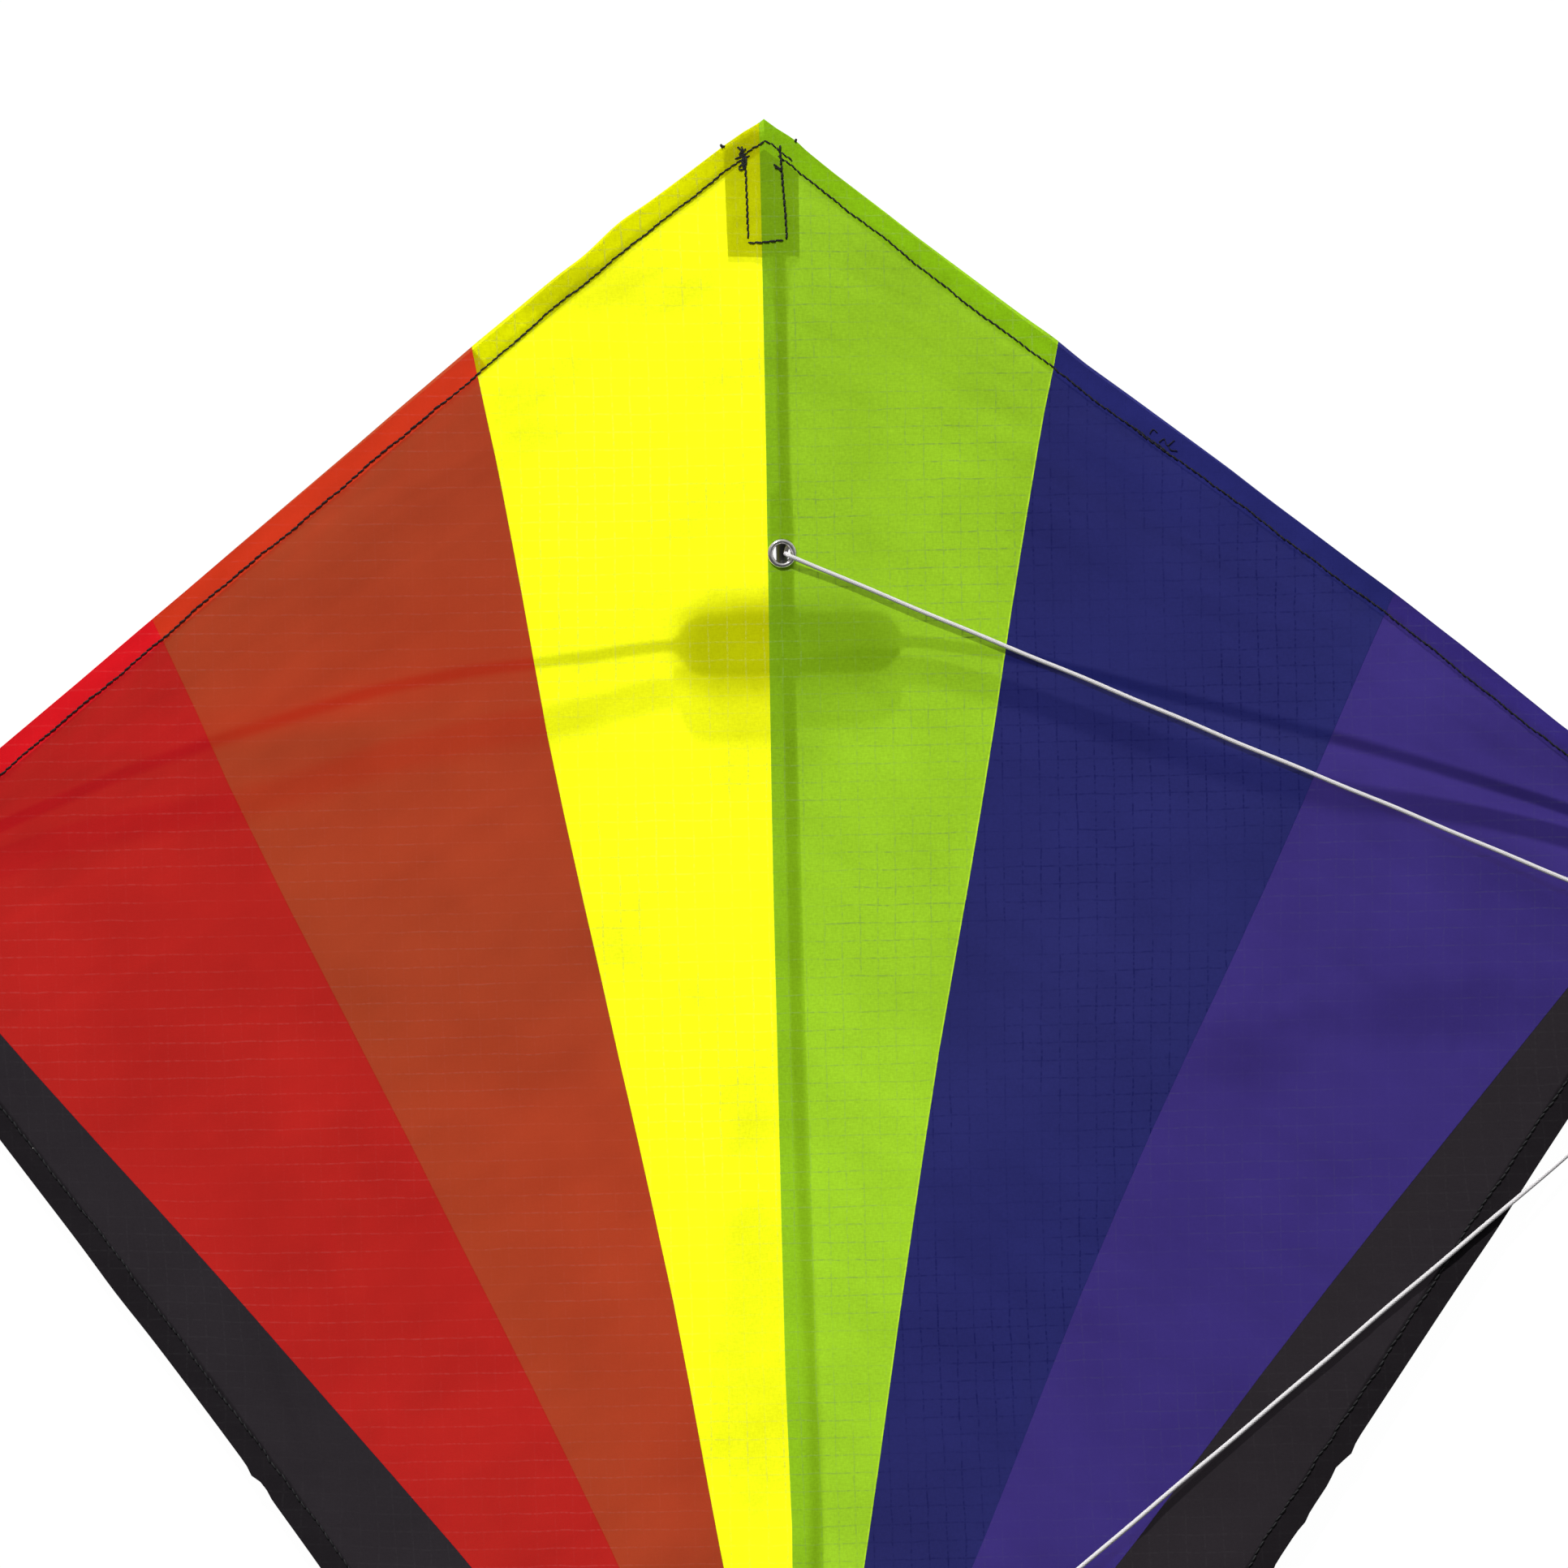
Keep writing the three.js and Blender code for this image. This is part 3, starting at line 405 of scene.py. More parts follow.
    for ex_, ey_, rx_, ry_, am_ in dim:      # painted shade of soft folds in the through colour at oval places; a negative amount paints light there instead
        du = n.math("DIVIDE", n.math("SUBTRACT", x, ex_ / 100), rx_ / 100)
        dv = n.math("DIVIDE", n.math("SUBTRACT", y, ey_ / 100), ry_ / 100)
        dd = n.math("SQRT", n.math("ADD", n.math("MULTIPLY", du, du), n.math("MULTIPLY", dv, dv)))
        dd = n.math("ADD", dd, n.math("MULTIPLY", n.math("SUBTRACT", n.noise(uv, 9.0, 3.0), 0.5), 0.9))
        up_t = n.math("MULTIPLY", up_t, n.math("SUBTRACT", 1.0, n.math("MULTIPLY", n.range(dd, 0.3, 1.1, 1.0, 0.0), am_)))

    def tone(col, hem, up, add):
        base = rgb(col)
        if hem is not None:
            ax = n.math("ABSOLUTE", x)
            dl = n.math("DIVIDE", n.math("SUBTRACT", y, n.math("MULTIPLY", ax, KL)), NL / 100.0)
            base = n.mix(n.range(dl, HEM - 0.2, HEM + 0.2, 1.0, 0.0), rgb(col), rgb(hem))
        c = n.new("VectorMath", operation="SCALE")
        n.put(c.inputs[0], base if isinstance(base, bpy.types.NodeSocket) else tuple(col))
        n.put(c.inputs[3], up)
        if not add:
            return c.outputs[0]
        m_ = n.new("VectorMath", operation="ADD")
        n.put(m_.inputs[0], c.outputs[0])
        cb = n.new("CombineXYZ")
        for i_ in range(3):
            n.put(cb.inputs[i_], n.math("MULTIPLY", line, add))
        n.put(m_.inputs[1], cb.outputs[0])
        return m_.outputs[0]

    a, t = tone(face, hem_face, up_a, light), tone(through, None, up_t, 0)
    if edge is not None:      # painted highlight: a thin, broken bright line along one seam's cut edge, mixed into the face colour
        (ex0, ey0), (ex1, ey1), seam_highlight_tint = edge
        l = math.hypot(ex1 - ex0, ey1 - ey0)
        de = n.math("ABSOLUTE", n.math("SUBTRACT", n.math("SUBTRACT", n.math("MULTIPLY", x, (ey1 - ey0) / l), n.math("MULTIPLY", y, (ex1 - ex0) / l)),
                                       (ex0 * (ey1 - ey0) - ey0 * (ex1 - ex0)) / l / 100))
        a = n.mix(n.math("MULTIPLY", n.range(de, 0.0025, 0.0065, 1.0, 0.0), n.range(n.noise(uv, 24.0, 2.0), 0.35, 0.6, 0.35, 1.0)), a, rgb(seam_highlight_tint))
    # woven relief: yarns crossing at 0.36 mm, and the raised ripstop lines
    wx = n.math("SINE", n.math("MULTIPLY", x, 2 * math.pi * 100 / 0.36))
    wy = n.math("SINE", n.math("MULTIPLY", y, 2 * math.pi * 100 / 0.36))
    weave = n.math("MULTIPLY", n.math("MULTIPLY", wx, wy), 0.25)
    height = n.math("ADD", n.math("ADD", weave, n.math("MULTIPLY", line, 0.8)), n.math("MULTIPLY", yarn, 0.6))
    nrm = n.bump(height, 0.35, 0.00006)
    p = n.new("BsdfPrincipled")
    n.put(p.inputs["Base Color"], a)
    n.put(p.inputs["Roughness"], n.range(yarn, 0.3, 0.7, rough - 0.06, rough + 0.08))
    p.inputs["Specular IOR Level"].default_value = spec
    p.inputs["Alpha"].default_value = alpha
    n.put(p.inputs["Normal"], nrm)
    tr = n.new("BsdfTranslucent")
    n.put(tr.inputs["Color"], t)
    n.put(tr.inputs["Normal"], nrm)
    mx = n.new("MixShader")
    mx.inputs[0].default_value = 0.5
    n.t.links.new(p.outputs[0], mx.inputs[1])
    n.t.links.new(tr.outputs[0], mx.inputs[2])
    return n.out(mx.outputs[0])


# per cloth: face, through, doubled hem
A_ = np.array
CLOTH = {
    "yellow": (A_([0.85, 0.92, 0.004]), A_([0.85, 0.86, 0.022]), A_([0.66, 0.69, 0.002])),
    "orange": (A_([0.756, 0.0138, 0.004]), A_([0.004, 0.065, 0.0275]), A_([1.16, 0.108, 0.040])),
    "red": (A_([0.779, 0.0012, 0.0208]), A_([0.076, 0.0277, 0.0071]), A_([1.40, 0.030, 0.038])),
    "green": (A_([0.37, 0.73, 0.018]), A_([0.165, 0.30, 0.021]), A_([0.50, 1.02, 0.019])),
    "blue": (A_([0.0078, 0.0109, 0.146]), A_([0.0273, 0.0264, 0.0918]), A_([0.050, 0.052, 0.32])),
    "purple": (A_([0.002, 0.002, 0.051]), A_([0.061, 0.039, 0.224]), A_([0.078, 0.051, 0.34])),
    "black": (A_([0.0288, 0.0254, 0.030]), A_([0.0144, 0.0127, 0.015]), None),
}
TUNE = {
    "yellow": A_([1.0, 1.0, 0.6]), "orange": A_([1.01, 0.66, 0.57]), "red": A_([0.96, 0.60, 0.77]), "green": A_([1.02, 0.98, 0.80]),
    "blue": A_([0.80, 0.84, 0.88]), "purple": A_([0.90, 0.90, 0.92]), "black": A_([0.85, 0.80, 0.81]),
}


def cloth_mat(key, name=None, through=1.0, **kw):
    f_, t_, h_ = CLOTH[key]
    return ripstop(name or "ripstop_" + key, f_ * TUNE[key], t_ * TUNE[key] * through, None if h_ is None else h_ * TUNE[key], **kw)


MATS = {
    # yellow: painted shadow round the connector and painted shade spots of folds
    "yellow": cloth_mat("yellow", light=0.07, dark=0.36, cross=(1.0, 0.8), grain=0.13, hub=0.9,
                        dim=((-10, 405, 20, 95, 0.26), (-62, 58, 30, 13, 0.16), (-86, 96, 18, 14, 0.16), (-26, 60, 14, 10, 0.12), (-8, 26, 7, 22, 0.16))),
    "orange": cloth_mat("orange", light=0.030, dark=0.0, cross=(0.25, 1.0), grain=0.05),
    "red": cloth_mat("red", light=0.034, dark=0.0, cross=(0.2, 1.0), grain=0.045),
    # green: painted highlight on a seam's cut edge, painted shadow round the connector, painted shade from nose to
    # tail, and a painted light spot at the nose
    "green": cloth_mat("green", light=0.075, dark=0.8, cross=(0.8, 1.0), grain=0.2, edge=(S1, (0, CONV), (0.75, 1.2, 0.05)), hub=0.56, fade=0.085,
                       dim=((7, 27, 7, 26, -0.22),)),
    "blue": cloth_mat("blue", light=0.0, dark=0.6, cross=(1.0, 0.7), grain=0.12),
    # purple: painted shade of two folds
    "purple": cloth_mat("purple", light=0.026, dark=0.16, cross=(0.7, 1.0), grain=0.08, dim=((225, 305, 75, 16, 0.16), (150, 318, 40, 16, 0.12))),
    "black": cloth_mat("black", light=0.012, dark=0.1, cross=(0.8, 0.8), grain=0.14, rough=0.55, spec=0.08),
}
TAPE = ripstop("seam_tape", CLOTH["green"][0], CLOTH["green"][1], dark=0.1, alpha=0.14)
PATCH = ripstop("eyelet_patch", CLOTH["green"][0], CLOTH["green"][1], dark=0.1, alpha=0.24)
POCKET = ripstop("nose_pocket_yellow", CLOTH["yellow"][0] * A_([0.84, 0.84, 0.3]), CLOTH["yellow"][1] * A_([0.1, 0.1, 0.0]), grain=0.05)


def plastic(name, base, rough, grain=900.0, depth=0.00004, streak=None, coat=0.0, spec=0.45, wear=0.25):
    """moulded or pultruded plastic: fine grain, scuffed lighter on edges, optional streaks along Y"""
    n = Nodes(name)
    co = n.new("TexCoord").outputs["Object"]
    g = n.noise(co, grain, 3.0, 0.6)
    big = n.noise(co, 60.0, 3.0)
    s = n.noise(n.scale(co, streak), 1.0, 3.0, 0.6) if streak else n.noise(co, 240.0, 2.0)
    k = n.math("ADD", n.math("MULTIPLY", big, 0.5), n.math("MULTIPLY", s, 0.5))
    col = n.mix(n.range(k, 0.3, 0.7), rgb(base * 0.86), rgb(base * 1.18 + 0.0015))
    pt = n.new("NewGeometry").outputs["Pointiness"]
    col = n.mix(n.math("MULTIPLY", n.range(pt, 0.52, 0.6), wear), col, rgb(base * 3 + 0.05))
    p = n.new("BsdfPrincipled")
    n.put(p.inputs["Base Color"], col)
    n.put(p.inputs["Roughness"], n.range(k, 0.3, 0.7, rough - 0.07, rough + 0.1))
    p.inputs["Specular IOR Level"].default_value = spec
    p.inputs["Coat Weight"].default_value = coat
    n.put(p.inputs["Normal"], n.bump(n.math("ADD", n.math("MULTIPLY", g, 0.6), n.math("MULTIPLY", s, 0.35)), 0.35, depth))
    return n.out(p.outputs[0])


def metal(name, base, rough):
    n = Nodes(name)
    co = n.new("TexCoord").outputs["Object"]
    g = n.noise(co, 700.0, 3.0, 0.65)
    sc = n.noise(n.scale(co, (900.0, 900.0, 2500.0)), 1.0, 2.0)
    p = n.new("BsdfPrincipled")
    p.inputs["Metallic"].default_value = 1.0
    n.put(p.inputs["Base Color"], n.mix(n.range(g, 0.35, 0.7), rgb(base), rgb(base * 0.72)))
    n.put(p.inputs["Roughness"], n.range(sc, 0.3, 0.7, rough - 0.04, rough + 0.1))
    n.put(p.inputs["Normal"], n.bump(g, 0.1, 0.00003))
    return n.out(p.outputs[0])


def braid(name, base, strands=6.0, pitch=1.6, thick=0.00018):
    """braided line on a tube's own coordinates: u runs along in diameters, v goes round once"""
    n = Nodes(name)
    u, v, _ = n.xyz(n.uv("cord"))

    def helix(sign):
        a = n.math("ADD", n.math("MULTIPLY", v, strands * sign), n.math("MULTIPLY", u, strands / (2 * pitch)))
        return n.math("ABSOLUTE", n.math("SINE", n.math("MULTIPLY", a, math.pi)))

    h = n.math("MAXIMUM", helix(1.0), helix(-1.0))
    fib = n.noise(n.scale(n.uv("cord"), (9.0, 30.0, 1)), 1.0, 2.0, 0.6)
    # painted shade: the colour darker in the grooves between the strands
    col = n.mix(n.range(h, 0.35, 0.9), rgb(base * 0.55), rgb(base))
    col = n.mix(n.math("MULTIPLY", n.range(fib, 0.35, 0.7), 0.25), col, rgb(base * 0.8))
    p = n.new("BsdfPrincipled")
    n.put(p.inputs["Base Color"], col)
    n.put(p.inputs["Roughness"], n.range(fib, 0.3, 0.7, 0.6, 0.78))
    p.inputs["Specular IOR Level"].default_value = 0.3
    n.put(p.inputs["Normal"], n.bump(n.math("ADD", h, n.math("MULTIPLY", fib, 0.3)), 0.7, thick))
    return n.out(p.outputs[0])


def webbing(name, base):
    n = Nodes(name)
    x, y, _ = n.xyz(n.uv())
    rib = n.math("ABSOLUTE", n.math("SINE", n.math("MULTIPLY", y, math.pi * 100 / 0.9)))
    warpn = n.math("ABSOLUTE", n.math("SINE", n.math("MULTIPLY", x, math.pi * 100 / 0.55)))
    h = n.math("ADD", n.math("MULTIPLY", rib, 0.7), n.math("MULTIPLY", warpn, 0.4))
    fib = n.noise(n.uv(), 220.0, 2.0)
    # painted shade and highlight: darker in the grooves and lighter on the ribs of the weave
    col = n.mix(n.range(h, 0.2, 1.0), rgb(base * 0.5), rgb(base * 1.4))
    p = n.new("BsdfPrincipled")
    n.put(p.inputs["Base Color"], col)
    n.put(p.inputs["Roughness"], n.range(fib, 0.3, 0.7, 0.7, 0.88))
    p.inputs["Specular IOR Level"].default_value = 0.25
    n.put(p.inputs["Normal"], n.bump(n.math("ADD", h, n.math("MULTIPLY", fib, 0.3)), 0.6, 0.00012))
    return n.out(p.outputs[0])


ROD = plastic("pultruded_rod", np.array([0.012, 0.012, 0.014]), 0.38, streak=(5000.0, 60.0, 5000.0), depth=0.00003, coat=0.1, wear=0.1)
SPAR = plastic("pultruded_spar", np.array([0.012, 0.012, 0.014]), 0.38, streak=(60.0, 4000.0, 4000.0), depth=0.00003, coat=0.1, wear=0.1)
VINYL = plastic("soft_vinyl", np.array([0.013, 0.013, 0.014]), 0.5, grain=1500.0)
MOULD = plastic("moulded_nylon", np.array([0.016, 0.016, 0.018]), 0.48, grain=1300.0, depth=0.00008, wear=0.35)
NICKEL = metal("nickel_plate", np.array([0.86, 0.83, 0.80]), 0.16)
STEEL = metal("steel_ring", np.array([0.78, 0.78, 0.79]), 0.2)
LINE = braid("braided_line", np.array([0.74, 0.715, 0.72]))
THREAD = braid("black_thread", np.array([0.012, 0.012, 0.013]), 2.0, 1.4, 0.00005)
RIBBON = webbing("woven_ribbon", np.array([0.014, 0.014, 0.016]))

# ---------------------------------------------------------------- mesh helpers


def finish_mesh(name, bm_or_data, mat, shade=True):
    me = bpy.data.meshes.new(name)
    if isinstance(bm_or_data, bmesh.types.BMesh):
        bm_or_data.to_mesh(me)
        bm_or_data.free()
    else:
        v, f = bm_or_data
        me.from_pydata([tuple(p) for p in v], [], f)
    ob = bpy.data.objects.new(name, me)
    scene.collection.objects.link(ob)
    me.materials.append(mat)
    if shade:
        me.polygons.foreach_set("use_smooth", np.ones(len(me.polygons), bool))
    me.update()
    return ob


def set_uv(me, uvs, name):
    layer = me.uv_layers.get(name) or me.uv_layers.new(name=name)
    idx = np.zeros(len(me.loops), np.int32)
    me.loops.foreach_get("vertex_index", idx)
    layer.data.foreach_set("uv", np.asarray(uvs, np.float32)[idx].ravel())


def flat_grid(poly, step=2.0, nfun=None, holes=()):
    """a convex polygon of the face as a fine even grid; returns a bmesh with face coordinates in x and y, n in z"""
    p = np.array(poly, float)
    lo, hi = np.floor(p.min(0) / step) * step, np.ceil(p.max(0) / step) * step
    nx, ny = int(round((hi[0] - lo[0]) / step)), int(round((hi[1] - lo[1]) / step))
    xs, ys = lo[0] + step * np.arange(nx + 1), lo[1] + step * np.arange(ny + 1)
    area = sum(p[i][0] * p[(i + 1) % len(p)][1] - p[(i + 1) % len(p)][0] * p[i][1] for i in range(len(p)))
    if area < 0:
        p = p[::-1]
    # keep only cells that can touch the polygon
    gx, gy = np.meshgrid(xs, ys, indexing="ij")
    dmin = np.full(gx.shape, 1e9)
    edges = []
    for i in range(len(p)):
        a, b = p[i], p[(i + 1) % len(p)]
        l = np.hypot(*(b - a))
        if l < 1e-6:
            continue
        nrm = np.array([-(b - a)[1], (b - a)[0]]) / l        # inwards for a counterclockwise polygon
        edges.append((a, nrm))
        dmin = np.minimum(dmin, (gx - a[0]) * nrm[0] + (gy - a[1]) * nrm[1])
    keep = dmin > -step * 1.5
    bm = bmesh.new()
    vid = {}
    for i in range(nx):
        for j in range(ny):
            if not (keep[i, j] and keep[i + 1, j] and keep[i, j + 1] and keep[i + 1, j + 1]):
                continue
            q = []
            for a, b in ((i, j), (i + 1, j), (i + 1, j + 1), (i, j + 1)):
                if (a, b) not in vid:
                    vid[a, b] = bm.verts.new((xs[a], ys[b], 0.0))
                q.append(vid[a, b])
            bm.faces.new(q)
    for a, nrm in edges:
        bmesh.ops.bisect_plane(bm, geom=bm.verts[:] + bm.edges[:] + bm.faces[:], dist=1e-4,
                               plane_co=(a[0], a[1], 0), plane_no=(nrm[0], nrm[1], 0), clear_inner=True)
    bmesh.ops.remove_doubles(bm, verts=bm.verts[:], dist=0.04)
    for hx, hy, hr in holes:
        dead = [f for f in bm.faces if math.hypot(f.calc_center_median().x - hx, f.calc_center_median().y - hy) < hr]
        bmesh.ops.delete(bm, geom=dead, context="FACES")
        for v in bm.verts:
            d = math.hypot(v.co.x - hx, v.co.y - hy)
            rim = min(abs((v.co.x - a[0]) * nrm[0] + (v.co.y - a[1]) * nrm[1]) for a, nrm in edges)
            if v.is_boundary and rim > 0.05 and d < hr + 2.6 * step / 2:
                v.co.x, v.co.y = hx + (v.co.x - hx) * (hr + 0.1) / d, hy + (v.co.y - hy) * (hr + 0.1) / d
    many = [f for f in bm.faces if len(f.verts) > 4]
    if many:
        bmesh.ops.triangulate(bm, faces=many)
    bm.normal_update()
    return bm


def place(bm, name, mat, n=0.0):
    """puts a flat grid on the sail: n in front of the mid-plane (a number, or the grid's own z when None)"""
    me = bpy.data.meshes.new(name)
    bm.to_mesh(me)
    bm.free()
    co = np.zeros(len(me.vertices) * 3)
    me.vertices.foreach_get("co", co)
    co = co.reshape(-1, 3)
    nn = co[:, 2] if n is None else (n(co[:, 0], co[:, 1]) if callable(n) else np.full(len(co), float(n)))
    p = surf(co[:, 0], co[:, 1], nn)
    set_uv(me, np.stack([co[:, 0] / 100, co[:, 1] / 100], -1), "face")
    me.vertices.foreach_set("co", p.astype(np.float32).ravel())
    me.update()
    # faces point out of the face of the kite
    nz = np.zeros(len(me.polygons) * 3)
    me.polygons.foreach_get("normal", nz)
    if nz.reshape(-1, 3)[:, 2].mean() < 0:
        me.flip_normals()
    me.polygons.foreach_set("use_smooth", np.ones(len(me.polygons), bool))
    me.materials.append(mat)
    ob = bpy.data.objects.new(name, me)
    scene.collection.objects.link(ob)
    return ob


def frames(p):
    """tangent and two turning-free normals along a path"""
    t = np.gradient(p, axis=0)
    t /= np.linalg.norm(t, axis=1)[:, None] + 1e-12
    a = np.array([0, 0, 1.0]) if abs(t[0][2]) < 0.9 else np.array([1.0, 0, 0])
    n = [np.cross(t[0], a)]
    n[0] /= np.linalg.norm(n[0])
    for i in range(1, len(p)):
        v = n[-1] - t[i] * np.dot(n[-1], t[i])
        n.append(v / (np.linalg.norm(v) + 1e-12))
    n = np.array(n)
    return t, n, np.cross(t, n)


def tube_data(p, r, sides=12, caps=True):
    """vertices, faces and cord coordinates of a round tube along points p (m); r a number or one per point"""
    p = np.asarray(p, float)
    r = np.broadcast_to(np.asarray(r, float), (len(p),))
    t, n, b = frames(p)
    ang = 2 * np.pi * np.arange(sides) / sides
    ring = (np.cos(ang)[None, :, None] * n[:, None, :] + np.sin(ang)[None, :, None] * b[:, None, :]) * r[:, None, None] + p[:, None, :]
    s = np.concatenate([[0], np.cumsum(np.linalg.norm(np.diff(p, axis=0), axis=1))])
    v = ring.reshape(-1, 3).tolist()
    f, uv = [], []
    for i in range(len(p) - 1):
        for k in range(sides):
            k2 = (k + 1) % sides
            f.append((i * sides + k, i * sides + k2, (i + 1) * sides + k2, (i + 1) * sides + k))
    d = 2 * r.mean()
    us = s / d
    luv = []
    for i in range(len(p) - 1):
        for k in range(sides):
            luv += [(us[i], k / sides), (us[i], (k + 1) / sides), (us[i + 1], (k + 1) / sides), (us[i + 1], k / sides)]
    if caps:
        for end, order in ((0, -1), (len(p) - 1, 1)):
            c = len(v)
            v.append((p[end] + t[end] * order * r[end] * 0.35).tolist())
            for k in range(sides):
                k2 = (k + 1) % sides
                tri = (end * sides + k, end * sides + k2, c)
                f.append(tri if order > 0 else tri[::-1])
                luv += [(us[end], k / sides)] * 3
    return v, f, luv


def join_data(parts):
    V, Fc, U = [], [], []
    for v, f, u in parts:
        o = len(V)
        V += list(v)
        Fc += [tuple(i + o for i in x) for x in f]
        U += list(u)
    return V, Fc, U


def tube_object(name, parts, mat):
    V, Fc, U = join_data(parts)
    ob = finish_mesh(name, (V, Fc), mat)
    layer = ob.data.uv_layers.new(name="cord")
    layer.data.foreach_set("uv", np.asarray(U, np.float32).ravel())
    return ob


def lathe(name, prof, at, axis, mat, segs=64, closed=True, xdir=None):
    """profile [(radius, height)] in mm turned round axis (row frame) at a point (m)"""
    a = Vector(axis).normalized()
    u = Vector(xdir).normalized() if xdir is not None else (a.orthogonal()).normalized()
    u = (u - a * u.dot(a)).normalized()
    w = a.cross(u)
    bm = bmesh.new()
    rings = []
    for r, h in prof:
        if r < 1e-6:
            rings.append([bm.verts.new(Vector(at) + a * h / 1000)])
        else:
            rings.append([bm.verts.new(Vector(at) + (u * math.cos(2 * math.pi * i / segs) + w * math.sin(2 * math.pi * i / segs)) * r / 1000 + a * h / 1000) for i in range(segs)])
    pairs = list(zip(rings, rings[1:])) + ([(rings[-1], rings[0])] if closed else [])
    for p, q in pairs:
        for i in range(segs):
            j = (i + 1) % segs
            vs = [p[i % len(p)], p[j % len(p)], q[j % len(q)], q[i % len(q)]]
            vs = [x for k, x in enumerate(vs) if x not in vs[:k]]
            if len(vs) > 2:
                bm.faces.new(vs)
    bmesh.ops.recalc_face_normals(bm, faces=bm.faces[:])
    return finish_mesh(name, bm, mat)


def spline(pts, steps):
    """Catmull-Rom through points, steps per span"""
    p = np.asarray(pts, float)
    q = np.vstack([2 * p[0] - p[1], p, 2 * p[-1] - p[-2]])
    out = []
    for i in range(1, len(q) - 2):
        for k in range(steps):
            t = k / steps
            out.append(0.5 * ((2 * q[i]) + (-q[i - 1] + q[i + 1]) * t + (2 * q[i - 1] - 5 * q[i] + 4 * q[i + 1] - q[i + 2]) * t * t
                              + (-q[i - 1] + 3 * q[i] - 3 * q[i + 1] + q[i + 2]) * t ** 3))
    out.append(p[-1])
    return np.array(out)


def resample(p, step):
    p = np.asarray(p, float)
    s = np.concatenate([[0], np.cumsum(np.linalg.norm(np.diff(p, axis=0), axis=1))])
    k = max(2, int(round(s[-1] / step)) + 1)
    q = np.linspace(0, s[-1], k)
    return np.stack([np.interp(q, s, p[:, i]) for i in range(p.shape[1])], -1)


def wing_blend(ob):
    """bakes the object's transform into its mesh"""
    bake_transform(ob)


# ---------------------------------------------------------------- bridle: both legs, knot and tow ring
RING_PIVOT = np.array([341.4, 80.028, 2.25]) / 1000
LEG_START = {"upper": (3.5, 146.4), "lower": (3.5, 566.0)}
CORD_R = 0.78


def leg_route(which):
    """the routes of the two legs, in the kite frame, the same as the CAD legs"""
    x0, y0 = LEG_START[which]
    side = 1 if which == "upper" else -1
    d_out = np.array([0.9854, 0.1701, 0.0])
    d_side = np.array([-0.1701, 0.9854, 0.0])
    end = RING_PIVOT * 1000 + d_side * side * 1.15 - d_out * 3.15
    end[2] = 1.35
    endk = unrow(end / 1000)
    n = 60
    raw = []
    fx, fy = endk[0] - x0, -endk[1] - y0
    ln = math.hypot(fx, fy)
    for i in range(n + 1):
        d = ln * i / n
        x, y = x0 + fx * i / n, y0 + fy * i / n
        p = row(x, -y, 0.0) * 1000
        h = CORD_R + 0.3
        floor = (h - p[2]) / CT
        on = x < (HEIGHT - y) / KT + 1
        top = -(x - F) * TD + (0.3 + 0.3 + CORD_R) / CD
        z = max(top, floor) if on else floor
        if d < 6.2:
            z = max(z, -(x - F) * TD + 1.25 + CORD_R + 0.15)
        raw.append((x, y, z, d))
    raw[0] = (x0, y0, 1.95, 0.0)
    pts = []
    for i, (x, y, z, d) in enumerate(raw):
        best = z
        for j in range(i):
            for k in range(i + 1, n + 1):
                if raw[k][3] - raw[j][3] > 60:
                    break
                t = (d - raw[j][3]) / (raw[k][3] - raw[j][3])
                best = max(best, raw[j][2] * (1 - t) + raw[k][2] * t)
        pts.append((x, -y, best))
    pts = np.array(pts)
    pts[-1] = endk
    return row(pts[:, 0], pts[:, 1], pts[:, 2])


LEG_PATHS = {}
LEGS = {}
for which in ("upper", "lower"):
    p = leg_route(which)
    k = unrow(p)
    # the visible end dives through the eyelet beside the rod
    y0 = -LEG_START[which][1]
    tow = (k[3] - k[0])[:2]
    tow = tow / np.hypot(*tow)
    head = [(4.55, y0 + tow[1] * 0.3, -3.2), (4.75, y0 + tow[1] * 0.6, -0.9), (5.3, y0 + tow[1] * 1.6, 0.85), (6.6, y0 + tow[1] * 3.2, 1.62)]
    near = max(i for i in range(len(k)) if math.hypot(k[i][0] - 3.5, k[i][1] - y0) < 11.0) + 1
    pts = np.vstack([np.array(head), k[near:]])
    fine = spline(pts, 5)
    # a light line lying on cloth is never quite straight
    s = np.linspace(0, 1, len(fine))
    amp = np.sin(np.pi * s) ** 0.5 * 0.10
    fine[:, 1] += amp * np.sin(s * 61 + (1 if which == "upper" else 2.3)) + 0.10 * amp / 0.1 * np.sin(s * 23)
    path = row(fine[:, 0], fine[:, 1], fine[:, 2])
    ob = tube_object("bridle_line_" + which, [tube_data(path, CORD_R / 1000, 12)], LINE)
    LEG_PATHS[which], LEGS[which] = path, ob

ring_x = np.array([0.9791, 0.169, -0.1129])
ring_x /= np.linalg.norm(ring_x)
side_v = np.array([-0.1701, 0.9854, 0.0])
side_v /= np.linalg.norm(side_v)
ring_n = np.cross(ring_x, side_v)
ring_c = RING_PIVOT + ring_x * 0.0062
prof = [(6.2 + 0.8 * math.cos(2 * math.pi * i / 20), 0.8 * math.sin(2 * math.pi * i / 20)) for i in range(20)]
ring = lathe("tow_ring_steel", prof, ring_c, ring_n, STEEL, 72)
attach(ring, "ring")
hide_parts("tow_ring")

# lark's head knot round the ring wire: two turns, a bar across, and the four tails drawn together
knot_parts = []
out_v = np.array([0.9854, 0.1701, 0.0])
out_v /= np.linalg.norm(out_v)
up_v = np.array([0.0, 0.0, 1.0])


def knot_point(along, ang, rad):
    return RING_PIVOT + side_v * along / 1000 + (out_v * math.cos(ang) + up_v * math.sin(ang)) * rad / 1000


